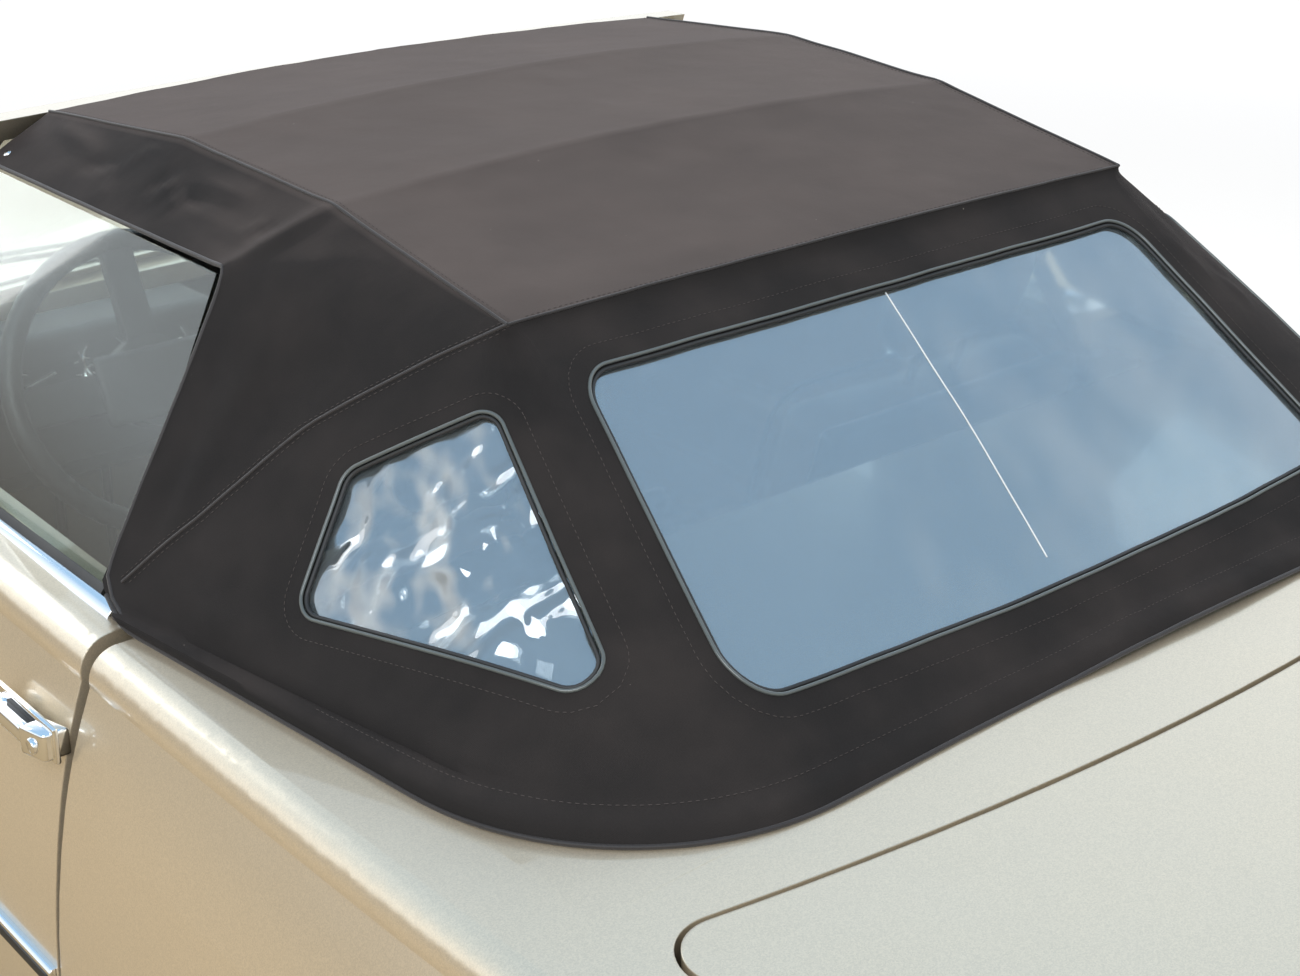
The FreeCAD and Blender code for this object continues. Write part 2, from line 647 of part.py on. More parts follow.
def make_roof():
    """The roof cloth with its window openings, the rear window and the two quarter windows."""
    thick = size("roof_thickness")
    side_in = 1.5 * thick
    eave = size("eave_height")
    low = size("roof_base") + 18
    side_cut = prism([
        (-FAR, -FAR, -FAR), (-FAR, -FAR, eave), (-FAR, ROOF_EDGE_TOP, eave),
        (-FAR, ROOF_EDGE_FOOT, low), (-FAR, DOOR_REAR + 1, low), (-FAR, DOOR_REAR + 1, -FAR),
    ], (2 * FAR, 0, 0))
    sides = roof_sides(0).cut(roof_sides(side_in)).cut(side_cut).cut(outer_body)
    cap = roof_cap(0, 0).cut(roof_cap(side_in, thick))
    cloth = sides.fuse(cap)
    quarter = quarter_window_prism()
    holes = [rear_window_prism(), quarter, mirrored(quarter)]
    film = roof_sides(5).cut(roof_sides(8.5)).cut(outer_body)
    panes = [film.common(hole) for hole in holes]
    return cloth.cut(holes), panes[0], Part.makeCompound(panes[1:])


JOINT_SWELL = 0.6
BOW_GAP = 2.5


def tube_path(points, radius):
    """Straight tubes through the points, with slightly thicker round joints."""
    pieces = []
    for start, end in zip(points, points[1:]):
        a, b = Vector(*start), Vector(*end)
        pieces.append(Part.makeCylinder(radius, (b - a).Length, a, b - a))
        pieces.append(Part.makeSphere(radius + JOINT_SWELL, b))
    return pieces[0].fuse(pieces[1:-1])


def bar(start, end, half):
    """A square bar between two points, run on by its half width at each end."""
    a, b = Vector(*start), Vector(*end)
    along = (b - a).normalize()
    box = block((-half, half), (-half, half), (-half, (b - a).Length + half))
    box.Placement = Placement(a, Rotation(Vector(0, 0, 1), along)) * box.Placement
    return box


def make_roof_frame():
    """Header rail, bows and side rails that carry the roof cloth."""
    half = size("frame_bar") / 2
    drop = size("roof_thickness") + BOW_GAP
    front = size("roof_front")
    pieces = []
    for y, seam_x, seam_z, crown in BOWS[1:]:
        end_x, end_z = seam_x - 26, seam_z - drop - 4
        depth = 2 * half
        y_rear = y - half
        outline = Part.Wire([
            arc((-end_x, y_rear, end_z), (0, y_rear, crown - drop - 2), (end_x, y_rear, end_z)),
            line((end_x, y_rear, end_z), (end_x, y_rear, end_z - depth)),
            arc((end_x, y_rear, end_z - depth), (0, y_rear, crown - drop - 2 - depth),
                (-end_x, y_rear, end_z - depth)),
            line((-end_x, y_rear, end_z - depth), (-end_x, y_rear, end_z)),
        ])
        pieces.append(Part.Face(outline).extrude(Vector(0, -depth, 0)))
    rail_z = size("eave_height") - 4
    elbow, knee, foot = (500, 292, rail_z - 2), (640, 390, 1010), (672, 462, 872)
    sides = [
        bar((500, front + 24, rail_z), elbow, half), bar(elbow, knee, half), bar(knee, foot, half),
        bar((432, 330, 1236), elbow, half), bar((432, 618, 1184), knee, half),
        bar((440, 38, 1250), (500, 38, rail_z), half),
        block((655, FAR), (DOOR_REAR + 7, DOOR_REAR + 45), (838, 900)).common(inner_body),
        block((0, 512), (front, front + 42), (1196, 1222)),
    ]
    for piece in sides:
        pieces += [piece, mirrored(piece)]
    header = block((-466, 466), (front, front + 42), (1216, 1246))
    return header.fuse(pieces)


def make_bumper(end, sign):
    """A bar across one end that turns round the corners, on two brackets."""
    low, high, thick = 418, 506, 40
    out = end + sign * size("bumper_reach")
    side, corner = HALF - 12, 150

    def outline(inset):
        half, face = side - inset, out - sign * inset
        back = end - sign * 300
        wire = Part.Wire([
            line((half, back, low), (half, face, low)), line((half, face, low), (-half, face, low)),
            line((-half, face, low), (-half, back, low)), line((-half, back, low), (half, back, low)),
        ])
        solid = Part.Face(wire).extrude(Vector(0, 0, high - low))
        upright = [
            e for e in solid.Edges
            if abs(e.Vertexes[0].Z - e.Vertexes[-1].Z) > 1 and abs(e.Vertexes[0].Y - face) < 1
        ]
        return solid.makeFillet(corner - inset * 0.6, upright)

    bar = outline(0).cut(outline(thick))
    bar = bar.cut(outer_body)
    bracket = block((380, 440), tuple(sorted((end, out - sign * thick / 2))), (430, 494))
    return bar.fuse([bracket, mirrored(bracket)])


feature("bonnet", make_bonnet())
feature("boot_lid", make_boot_lid())
wing = make_front_wing()
feature("front_wing_left", wing)
feature("front_wing_right", mirrored(wing))
feature("nose_panel", make_nose())
feature("grille", make_grille())
feature("headlamps", make_headlamps())
feature("tail_lamps", make_tail_lamps())
rear_sides = make_rear_body()
feature("rear_body", rear_sides)
rear_house = wheel_house(
    REAR_AXLE, size("rear_arch"), size("rear_house_inner"), HUB_HEIGHT + ARM_CLEARANCE
).cut(rear_sides)
rear_houses = [rear_house, mirrored(rear_house)]
feature("rear_wheel_housings", Part.makeCompound(rear_houses))
feature("rear_floor", make_rear_floor().cut([rear_sides, *rear_houses]))
feature("axle_tub", make_axle_tub())
feature("rear_bulkheads", Part.makeCompound([
    wall.cut([rear_sides, *rear_houses]) for wall in make_rear_bulkheads()
]))
feature("roof_well_lid", make_well_lid())
feature("floor_pan", make_floor())
feature("scuttle", make_scuttle())
door = make_door()
feature("door_left", door)
feature("door_right", mirrored(door))
pane = window_slab()
feature("door_glass_left", pane)
feature("door_glass_right", mirrored(pane))
screen_frame, screen_glass = make_screen()
feature("windscreen_frame", screen_frame)
feature("windscreen_glass", screen_glass)
cloth, rear_window, quarter_windows = make_roof()
feature("roof_cloth", cloth)
feature("rear_window", rear_window)
feature("quarter_windows", quarter_windows)
feature("roof_frame", make_roof_frame())
feature("front_bumper", make_bumper(NOSE, -1))
feature("rear_bumper", make_bumper(TAIL, 1))


def revolved(name, outline):
    """A PartDesign body turned round the X axis from a closed outline of (x, radius) texts."""
    body = doc.addObject("PartDesign::Body", name)
    body.Label = name
    sketch = body.newObject("Sketcher::SketchObject", name + "_profile")
    plane = next(f for f in body.Origin.OriginFeatures if f.Role == "XY_Plane")
    sketch.AttachmentSupport = [(plane, "")]
    sketch.MapMode = "FlatFace"
    count = len(outline)
    numbers = [(float(sheet_value(x)), float(sheet_value(r))) for x, r in outline]
    for index in range(count):
        (x0, r0), (x1, r1) = numbers[index], numbers[(index + 1) % count]
        sketch.addGeometry(Part.LineSegment(Vector(x0, r0, 0), Vector(x1, r1, 0)), False)
    for index in range(count):
        sketch.addConstraint(Sketcher.Constraint("Coincident", index, 2, (index + 1) % count, 1))
    for index, (x, r) in enumerate(outline):
        for kind, text, label in (("DistanceX", x, "along"), ("DistanceY", r, "radius")):
            value = numbers[index][0] if kind == "DistanceX" else numbers[index][1]
            place = sketch.addConstraint(Sketcher.Constraint(kind, -1, 1, index, 1, value))
            sketch.setExpression(f"Constraints[{place}]", text)
    turned = body.newObject("PartDesign::Revolution", name + "_turned")
    turned.Profile = sketch
    turned.ReferenceAxis = (sketch, ["H_Axis"])
    turned.Angle = 360
    doc.recompute()
    return body


def sheet_value(text):
    """The number that a sheet expression stands for."""
    names = {alias: value for alias, value, _ in SIZES}
    for alias in sorted(names, key=len, reverse=True):
        text = text.replace("sizes." + alias, str(size(alias)))
    return FreeCAD.Units.Quantity(text).Value


def make_wheel(tag, side, axle_text):
    """Tyre and rim of one wheel. The rim has a ring of round slots and a blind bore for the spindle."""
    tread = "sizes.tyre_radius"
    width = "sizes.tyre_width / 2"
    seat = "sizes.rim_radius"
    shoulder = "sizes.tyre_shoulder"
    tyre = revolved("tyre_" + tag, [
        (f"-{width}", seat), (f"-{width}", f"{tread} - {shoulder}"), (f"-{width} + {shoulder}", tread),
        (f"{width} - {shoulder}", tread), (f"{width}", f"{tread} - {shoulder}"), (f"{width}", seat),
    ])
    half = "sizes.rim_width / 2"
    inner = "sizes.rim_radius - sizes.rim_wall"
    face = "sizes.rim_face"
    rim = revolved("rim_" + tag, [
        (f"-{half} + 0", seat), (f"{half}", seat), (f"{half}", inner),
        (f"{face} + 26", inner), (f"{face} + 20", f"{inner} - 14"), (f"{face}", f"{inner} - 34"),
        (f"{face} + 12", "sizes.hub_radius + 12"), (f"{face} + 24", "sizes.hub_radius - 10"),
        (f"{face} + 28", "sizes.spindle_radius"), (f"{face} + 28", "0"), (f"{face} - 10", "0"),
        (f"{face} - 10", "sizes.spindle_radius + sizes.running_gap"),
        ("-5 + 0", "sizes.spindle_radius + sizes.running_gap"), ("-5 + 0", "sizes.hub_radius"),
        (f"{face} - sizes.rim_disc", "sizes.hub_radius + 6"), (f"{face} - sizes.rim_disc", f"{inner} - 34"),
        (f"{face} - 8", inner), (f"-{half} + 0", inner),
    ])
    slots = 15
    cutter = rim.newObject("Sketcher::SketchObject", f"rim_{tag}_slot_outline")
    plane = next(f for f in rim.Origin.OriginFeatures if f.Role == "YZ_Plane")
    cutter.AttachmentSupport = [(plane, "")]
    cutter.MapMode = "FlatFace"
    ring = (size("rim_radius") + size("hub_radius")) / 2 - 1
    cutter.addGeometry(Part.Circle(Vector(ring, 0, 0), Vector(0, 0, 1), 13), False)
    pocket = rim.newObject("PartDesign::Pocket", f"rim_{tag}_slot")
    pocket.Profile = cutter
    pocket.Type = 1
    pocket.Midplane = True
    doc.recompute()
    pattern = rim.newObject("PartDesign::PolarPattern", f"rim_{tag}_slots")
    pattern.Originals = [pocket]
    axis = next(f for f in rim.Origin.OriginFeatures if f.Role == "X_Axis")
    pattern.Axis = (axis, [""])
    pattern.Angle = 360
    pattern.Occurrences = slots
    rim.Tip = pattern
    for body in (tyre, rim):
        if side < 0:
            body.Placement = Placement(Vector(), Rotation(Vector(0, 0, 1), 180))
        body.setExpression("Placement.Base.x", f"{side} * sizes.track_half")
        body.setExpression("Placement.Base.y", axle_text)
        body.setExpression("Placement.Base.z", "sizes.tyre_radius")
        keep(body)


for tag, side, axle_text in (
    ("front_left", 1, FRONT_AXLE_TEXT), ("front_right", -1, FRONT_AXLE_TEXT),
    ("rear_left", 1, REAR_AXLE_TEXT), ("rear_right", -1, REAR_AXLE_TEXT),
):
    make_wheel(tag, side, axle_text)

SPINDLE_TIP = 20
UPRIGHT_REACH = 125


def make_knuckle():
    """The left front upright with its spindle and a bore at each end for a ball pin."""
    x, y, z = size("track_half") - size("kingpin_in"), FRONT_AXLE, HUB_HEIGHT
    upright = block((x - 24, x + 24), (y - 28, y + 28), (z - UPRIGHT_REACH, z + UPRIGHT_REACH))
    spindle = cylinder_x(size("spindle_radius"), x, size("track_half") + SPINDLE_TIP, y, z)
    steering_arm = block((x - 14, x + 14), (y + 28, y + 120), (z - 20, z + 4))
    bore = Part.makeCylinder(
        size("ball_radius") + size("running_gap"), 2 * FAR, Vector(x, y, -FAR), Vector(0, 0, 1)
    )
    middle = block(EVERY_X, (-FAR, FAR), (z - UPRIGHT_REACH + 30, z + UPRIGHT_REACH - 30))
    return upright.cut(bore.cut(middle)).fuse([spindle, steering_arm])


def make_front_axle():
    """Cross-member, engine bay rails and two pairs of control arms with their ball pins."""
    x, y, z = size("track_half") - size("kingpin_in"), FRONT_AXLE, HUB_HEIGHT
    member = block((-405, 405), (y - 70, y + 70), (212, 290))
    rail = block((345, 405), (NOSE + 62, DOOR_FRONT), (290, 372))
    tower = block((345, 405), (y - 60, y + 60), (372, 480))
    pieces = [rail, tower]
    radius = size("ball_radius")
    for low, high, pin_from, pin_to in (
        (z - 151, z - 133, z - 133, z - 102), (z + 133, z + 151, z + 102, z + 133),
    ):
        arm = prism([
            (360, y - 90, low), (360, y + 90, low), (x - 90, y + 18, low), (x + 18, y + 18, low),
            (x + 18, y - 18, low), (x - 90, y - 18, low),
        ], (0, 0, high - low))
        hole = prism([
            (400, y - 50, low - 1), (400, y + 50, low - 1), (x - 125, y + 8, low - 1), (x - 125, y - 8, low - 1)
        ], (0, 0, high - low + 2))
        pieces.append(arm.cut(hole))
        pieces.append(Part.makeCylinder(radius, pin_to - pin_from, Vector(x, y, pin_from)))
    pad = block((345, 405), (y - 60, y + 60), (z - 151, 290))
    pieces += [pad, tow_eye(NOSE + 130, TOW_FRONT_HEIGHT, 291)]
    for piece in list(pieces):
        pieces.append(mirrored(piece))
    return member.fuse(pieces).removeSplitter()


def make_rear_axle():
    """Differential, half-shafts, trailing arms and hub carriers with their spindles."""
    y, z = REAR_AXLE, HUB_HEIGHT
    wheel = size("track_half")
    case = block((-110, 110), (y - 150, y + 130), (z - 85, z + 105))
    member = block((-470, 470), (y - 300, y - 230), (z + 40, z + 110))
    neck = block((-40, 40), (y - 230, y - 150), (z + 30, z + 100))
    pieces = [case, neck]
    shaft = cylinder_x(18, 110, wheel - 100, y, z)
    carrier = block((wheel - 115, wheel - 75), (y - 60, y + 60), (z - 70, z + 70))
    spindle = cylinder_x(size("spindle_radius"), wheel - 80, wheel + SPINDLE_TIP, y, z)
    arm = Part.makeLoft([
        Part.makePolygon([Vector(*p) for p in (
            (395, y - 300, z + 20), (470, y - 300, z + 20), (470, y - 300, z + 75), (395, y - 300, z + 75),
            (395, y - 300, z + 20))]),
        Part.makePolygon([Vector(*p) for p in (
            (wheel - 115, y - 50, z - 50), (wheel - 78, y - 50, z - 50), (wheel - 78, y - 50, z + 20),
            (wheel - 115, y - 50, z + 20), (wheel - 115, y - 50, z - 50))]),
    ], True, True)
    mount = block((410, 460), (y - 290, y - 240), (z + 110, 492))
    for piece in (shaft, carrier, spindle, arm, mount):
        pieces += [piece, mirrored(piece)]
    return member.fuse(pieces)


knuckle = make_knuckle()
feature("knuckle_left", knuckle)
feature("knuckle_right", mirrored(knuckle))
feature("front_axle", make_front_axle())
feature("rear_axle", make_rear_axle())

engine = primitive("Box", "engine", {"Length": 480, "Width": 600, "Height": 500},
                   (-240, f"{FRONT_AXLE_TEXT} - 170", 290))
keep(engine)
doc.recompute()


def make_exhaust():
    """One pipe under the floor to a silencer across the tail, with its tailpipe."""
    radius = size("exhaust_radius")
    low = 158
    silencer_y = TAIL - 260
    pipe = tube_path([
        (-200, FRONT_AXLE + 430, 300), (-200, FRONT_AXLE + 560, low), (-200, silencer_y, low)
    ], radius)
    silencer = cylinder_x(70, -330, 250, silencer_y, 172)
    tailpipe = Part.makeCylinder(24, 290, Vector(-290, silencer_y, 172), Vector(0, 1, 0))
    strap = block((-60, -20), (silencer_y - 15, silencer_y + 15), (200, 400)).cut(outer_body)
    strap = strap.common(block(EVERY_X, (-FAR, FAR), (-FAR, 270)))
    return pipe.fuse([silencer, tailpipe, strap]).cut(engine.Shape)


feature("exhaust", make_exhaust())


def make_seat():
    """The left seat: cushion, leaning back and head restraint on two runners."""
    x, half = size("seat_out"), size("seat_width") / 2
    cushion = block((x - half, x + half), (-190, 300), (330, 470))
    cushion = cushion.makeFillet(45, [e for e in cushion.Edges if e.BoundBox.ZMax > 469 and e.BoundBox.ZMin > 469])
    lean = math.radians(16)
    back = block((x - half, x + half), (-65, 65), (0, 560))
    back = back.makeFillet(50, [e for e in back.Edges if e.BoundBox.ZMin > 559])
    head = rounded(block((x - 130, x + 130), (-45, 45), (585, 745)), 38)
    post = block((x - 60, x + 60), (-8, 8), (555, 590))
    back = back.fuse([head, post])
    back.rotate(Vector(), Vector(1, 0, 0), -math.degrees(lean))
    back.translate(Vector(0, 305, 395))
    runner = block((x - half + 60, x - half + 90), (-170, 280), (225, 331))
    other = block((x + half - 90, x + half - 60), (-170, 280), (225, 331))
    return cushion.fuse([back, runner, other])


seat = make_seat()
seat = seat.common(inner_body.fuse(block((-640, 640), (-600, 550), (600, 1300))))
feature("seat_left", seat)
feature("seat_right", mirrored(seat))


BOSS_BACK = 20


def make_dashboard():
    """Padded dashboard with a raised hood over the instruments and the steering column."""
    half = size("door_inner") - GAP
    top = BELT - 25
    front = DOOR_FRONT + 14
    profile = [
        (-half, front, 640), (-half, front, top - 40), (-half, front + 60, top), (-half, front + 190, top - 10),
        (-half, front + 215, top - 60), (-half, front + 200, top - 190), (-half, front + 120, 640),
    ]
    dash = prism(profile, (2 * half, 0, 0))
    x = size("seat_out")
    hood = rounded(block((x - 190, x + 190), (front + 130, front + 245), (top - 70, top + 22)), 20)
    tilt = math.radians(size("column_tilt"))
    hub = wheel_middle()
    away = Vector(0, -math.cos(tilt), -math.sin(tilt))
    column = Part.makeCylinder(24, 215, hub + away * (BOSS_BACK + 0.3), away)
    dash = dash.fuse([hood, column])
    return dash.common(inner_body.fuse(block((-640, 640), (SCUTTLE_REAR, 0), (500, 1300))))


def wheel_middle():
    return Vector(size("seat_out"), -285, 868)


def make_steering_wheel():
    """Rim, two spokes and a padded boss round the steering column's axis."""
    big, thin = size("wheel_rim_radius"), 14
    rim = Part.makeTorus(big, thin)
    boss = Part.makeCylinder(62, BOSS_BACK + 14, Vector(0, 0, -BOSS_BACK))
    spoke = block((-big + 2, big - 2), (-26, 26), (-8, 8))
    lower = block((-22, 22), (-big + 2, 0), (-8, 8))
    wheel = rim.fuse([boss, spoke, lower])
    wheel.Placement = Placement(wheel_middle(), Rotation(Vector(1, 0, 0), size("column_tilt") - 90))
    return wheel


feature("dashboard", make_dashboard())
feature("steering_wheel", make_steering_wheel())
console_block = primitive("Box", "console_block", {"Length": 200, "Width": 760, "Height": 130},
                          (-100, -440, 420))
console = doc.addObject("Part::Fillet", "centre_console")
console.Label = "centre_console"
console.Base = console_block
doc.recompute()
console.Edges = [
    (number, 22, 22) for number, edge in enumerate(console_block.Shape.Edges, start=1)
    if edge.BoundBox.ZMin > 549
]
keep(console)


LIP_GAP = 1


def make_door_fittings():
    """Handle, belt moulding, rubbing strip and mirror of the left door."""
    inner = DOOR_FRONT + GAP
    handle_y = DOOR_REAR - 130
    lever = rounded(block((850, 882), (handle_y, handle_y + 118), (803, 826)), 6)
    grip_foot = rounded(block((840, 872), (handle_y + 88, handle_y + 116), (800, 829)), 4)
    grip_nose = rounded(block((840, 872), (handle_y + 2, handle_y + 22), (804, 825)), 4)
    handle = lever.fuse([grip_foot, grip_nose])
    strip = block((870, HALF + 7), (inner + 3, DOOR_REAR - GAP - 3), (540, 566))
    low, high, front = 900, 919, -552
    trim = prism([
        (glass_x(low) + LIP_GAP, front, low), (778, front, low), (772, front, high),
        (glass_x(high) + LIP_GAP, front, high),
    ], (0, glass_rear(GLASS_DEPTH) - front - 7, 0))
    foot = rounded(block((770, 850), (-560, -520), (880, 985)), 8)
    head = rounded(block((790, 965), (-556, -500), (960, 1078)), 24)
    fittings = handle.fuse([strip, trim, foot.fuse(head)])
    return fittings.cut(outer_body)


fittings = make_door_fittings()
feature("door_fittings_left", fittings)
feature("door_fittings_right", mirrored(fittings))

doc.recompute()
for node in doc.Objects:
    if "Invalid" in node.State or "Error" in node.State:
        raise RuntimeError(f"{node.Label} failed: {node.State}")
os.makedirs("parts", exist_ok=True)
for node in parts:
    shape = node.Shape
    if shape.isNull() or not shape.isValid() or shape.Volume <= 0 or not shape.Solids:
        raise RuntimeError(f"{node.Label} has no valid solid")
    if len(shape.Solids) == 1:
        shape = shape.Solids[0]
    shape.exportStep(f"parts/{node.Label}.step")
    print(f"{node.Label}: {len(shape.Solids)} solid(s), {shape.Volume / 1e6:.2f} litres")
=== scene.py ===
"""Looks of a two-seat convertible car with its cloth roof up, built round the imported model. Metres."""
import json
import math

import bmesh
import bpy
from bpy.props import FloatProperty, FloatVectorProperty, PointerProperty
from mathutils import Matrix, Vector, noise
from mathutils.bvhtree import BVHTree


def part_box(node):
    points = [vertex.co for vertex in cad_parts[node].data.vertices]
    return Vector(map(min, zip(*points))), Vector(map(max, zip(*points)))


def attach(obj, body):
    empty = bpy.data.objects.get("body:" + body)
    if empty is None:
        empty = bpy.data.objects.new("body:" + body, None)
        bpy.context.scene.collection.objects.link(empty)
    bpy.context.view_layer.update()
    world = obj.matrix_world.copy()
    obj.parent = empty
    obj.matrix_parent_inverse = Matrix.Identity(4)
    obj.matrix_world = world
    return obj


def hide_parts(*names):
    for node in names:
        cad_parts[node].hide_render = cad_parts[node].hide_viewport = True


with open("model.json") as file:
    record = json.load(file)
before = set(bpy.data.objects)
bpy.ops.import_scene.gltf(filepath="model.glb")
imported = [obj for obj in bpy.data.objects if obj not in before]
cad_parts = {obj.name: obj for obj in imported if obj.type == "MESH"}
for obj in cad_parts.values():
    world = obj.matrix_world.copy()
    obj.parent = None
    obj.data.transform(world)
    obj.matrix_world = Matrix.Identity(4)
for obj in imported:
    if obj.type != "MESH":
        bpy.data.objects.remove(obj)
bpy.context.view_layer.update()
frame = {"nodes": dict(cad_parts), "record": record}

bl_info = {
    "name": "Soft-top convertible",
    "version": (1, 0, 0),
    "blender": (4, 5, 0),
    "location": "View3D > Sidebar > Convertible",
    "description": "Models the roof cloth, trim, wheels and cabin of a two-seat convertible car",
    "category": "Object",
}

NODES = frame["nodes"]


def colour(name, default, description):
    return FloatVectorProperty(
        name=name, description=description, default=default, size=3, min=0, max=1, subtype="COLOR"
    )


def amount(name, default, description, **limits):
    return FloatProperty(name=name, description=description, default=default, **limits)


def length(name, default, description):
    return amount(name, default, description, min=0, unit="LENGTH", subtype="DISTANCE")


class StageSettings(bpy.types.PropertyGroup):
    """Camera, floor and lights."""

    camera_x: length("Camera X", 1.54037, "Camera's place towards the car's left")
    camera_y: length("Camera Y", 2.11259, "Camera's place towards the tail")
    camera_z: length("Camera height", 1.84603, "Camera's height above the floor")
    camera_yaw: amount("Camera yaw", 0.7092, "Turn of the view to the car's right", subtype="ANGLE")
    camera_pitch: amount("Camera pitch", 0.4133, "How far the view looks down", subtype="ANGLE")
    camera_roll: amount("Camera roll", 0.0062, "Turn of the picture in its own plane", subtype="ANGLE")
    lens: amount("Lens", 56.25, "Focal length in millimetres", min=1)
    floor: colour("Floor", (0.88, 0.88, 0.87), "Colour of the floor")
    fade_start: length("Fade start", 2.6, "Distance at which the floor begins to fade away")
    fade_end: length("Fade end", 6.5, "Distance at which the floor has become the background")
    reflected_floor: colour("Reflected floor", (0.41, 0.31, 0.175), "The floor in bright surfaces")
    sky_low: colour("Low light", (0.87, 0.92, 0.96), "Colour of the surroundings near the horizon")
    sky_high: colour("High light", (0.30, 0.47, 0.66), "Colour of the surroundings overhead")
    street: colour("Reflected street", (0.31, 0.22, 0.12), "What bright surfaces reflect low down")
    gleam: amount("Gleam", 1.5, "Strength of the sky in reflections", min=0)
    sky_strength: amount("Soft light", 0.75, "Strength of the light from all round", min=0)


class FinishSettings(bpy.types.PropertyGroup):
    """Colours of the car's finishes."""

    paint: colour("Paint", (0.70, 0.61, 0.465), "Champagne metallic paint")
    cloth: colour("Roof cloth", (0.0185, 0.0172, 0.0172), "Dark brown roof cloth")
    # Painted reflection: the film's pale blue stands in for the sky seen in it
    film: colour("Window film", (0.66, 0.78, 0.84), "Flexible window film")
    leather: colour("Seats", (0.33, 0.20, 0.115), "Tan seat leather")
    bead: colour("Window bead", (0.085, 0.098, 0.095), "Welt round the roof's windows")


class RoofSettings(bpy.types.PropertyGroup):
    """Sizes of the cloth roof."""

    cloth: length("Cloth thickness", 0.004, "Thickness of the roof cloth")
    sag: length("Sag", 0.005, "How far the cloth sinks between two bows")
    hem: length("Hem", 0.036, "Width of the rolled hem along the deck")
    roll: length("Hem roll", 0.0095, "How far the rolled hem stands out")
    piping: length("Seam", 0.0018, "Radius of the welt in the seams")
    bead: length("Window bead", 0.0019, "Radius of the welt round the windows")
    stitch: length("Stitch", 0.0045, "Length of one stitch")


def settings():
    return bpy.context.scene.convertible


# Making and finishing pieces

def deselect():
    bpy.ops.object.select_all(action="DESELECT")


def take(obj):
    """Makes one object the only selected and active one."""
    deselect()
    obj.hide_set(False)
    obj.select_set(True)
    bpy.context.view_layer.objects.active = obj
    return obj


def added(name):
    """The object that an operator has just added, named."""
    obj = bpy.context.object
    obj.name = name
    obj.data.name = name
    return obj


def settle(obj):
    """Puts the object's place, turn and scale into its mesh."""
    take(obj)
    bpy.ops.object.transform_apply(location=True, rotation=True, scale=True)
    return obj


def modify(obj, kind, **values):
    """Adds a modifier and applies it."""
    take(obj)
    made = obj.modifiers.new(kind.title(), kind)
    for name, value in values.items():
        setattr(made, name, value)
    bpy.ops.object.modifier_apply(modifier=made.name)
    return obj


def smooth(obj, degrees=35):
    take(obj)
    bpy.ops.object.shade_smooth_by_angle(angle=math.radians(degrees))
    return obj


def in_edit(obj, *steps):
    """Runs mesh operators on everything in the object's mesh."""
    take(obj)
    bpy.ops.object.mode_set(mode="EDIT")
    bpy.ops.mesh.select_all(action="SELECT")
    for step in steps:
        step()
    bpy.ops.object.mode_set(mode="OBJECT")
    return obj


def select_faces(obj, chosen):
    """Selects the faces that a test of their middle and normal picks, and stays in edit mode."""
    take(obj)
    bpy.ops.object.mode_set(mode="EDIT")
    bpy.ops.mesh.select_mode(type="FACE")
    bpy.ops.mesh.select_all(action="DESELECT")
    bpy.ops.object.mode_set(mode="OBJECT")
    for face in obj.data.polygons:
        face.select = bool(chosen(face.center, face.normal))
    bpy.ops.object.mode_set(mode="EDIT")


def leave_edit():
    bpy.ops.object.mode_set(mode="OBJECT")


def outwards(obj, near=1e-5):
    """Welds a mesh's points that lie together and turns its faces outwards."""
    return in_edit(
        obj, lambda: bpy.ops.mesh.remove_doubles(threshold=near),
        lambda: bpy.ops.mesh.normals_make_consistent(inside=False),
    )


def joined(name, objects):
    take(objects[0])
    for obj in objects[1:]:
        obj.select_set(True)
    bpy.context.view_layer.objects.active = objects[0]
    if len(objects) > 1:
        bpy.ops.object.join()
    return added(name)


def block(name, low, high, bevel=0.0, segments=3):
    """A block between two corners, its edges rounded."""
    low, high = Vector(low), Vector(high)
    deselect()
    bpy.ops.mesh.primitive_cube_add(size=1, location=(low + high) / 2)
    obj = added(name)
    obj.scale = high - low
    settle(obj)
    if bevel:
        modify(obj, "BEVEL", width=bevel, segments=segments, limit_method="NONE")
    return obj


def disc(name, middle, axis, radius, depth, bevel=0.0, sides=48):
    """A round piece along an axis, centred on a point."""
    deselect()
    bpy.ops.mesh.primitive_cylinder_add(vertices=sides, radius=radius, depth=depth, location=middle)
    obj = added(name)
    obj.rotation_euler = Vector(axis).to_track_quat("Z", "Y").to_euler()
    settle(obj)
    if bevel:
        modify(obj, "BEVEL", width=bevel, segments=3, limit_method="ANGLE", angle_limit=math.radians(40))
    return obj


def drawn(name, ring, along, steps=1):
    """A closed outline through the points, drawn out along a vector in equal steps."""
    deselect()
    bpy.ops.mesh.primitive_circle_add(vertices=len(ring), fill_type="NGON")
    obj = added(name)
    for vertex, point in zip(obj.data.vertices, ring):
        vertex.co = point
    take(obj)
    bpy.ops.object.mode_set(mode="EDIT")
    bpy.ops.mesh.select_all(action="SELECT")
    for _ in range(steps):
        bpy.ops.mesh.extrude_region_move(TRANSFORM_OT_translate={"value": Vector(along) / steps})
    leave_edit()
    return outwards(obj)


def repeated(name, template, places):
    """One piece of many copies of a small mesh, which is used up."""
    corners = [vertex.co.copy() for vertex in template.data.vertices]
    faces = [tuple(face.vertices) for face in template.data.polygons]
    bpy.data.objects.remove(template)
    points, sides = [], []
    for place in places:
        start = len(points)
        points += [place @ corner for corner in corners]
        sides += [tuple(start + index for index in face) for face in faces]
    mesh = bpy.data.meshes.new(name)
    mesh.from_pydata(points, [], sides)
    obj = bpy.data.objects.new(name, mesh)
    bpy.context.scene.collection.objects.link(obj)
    return take(obj)


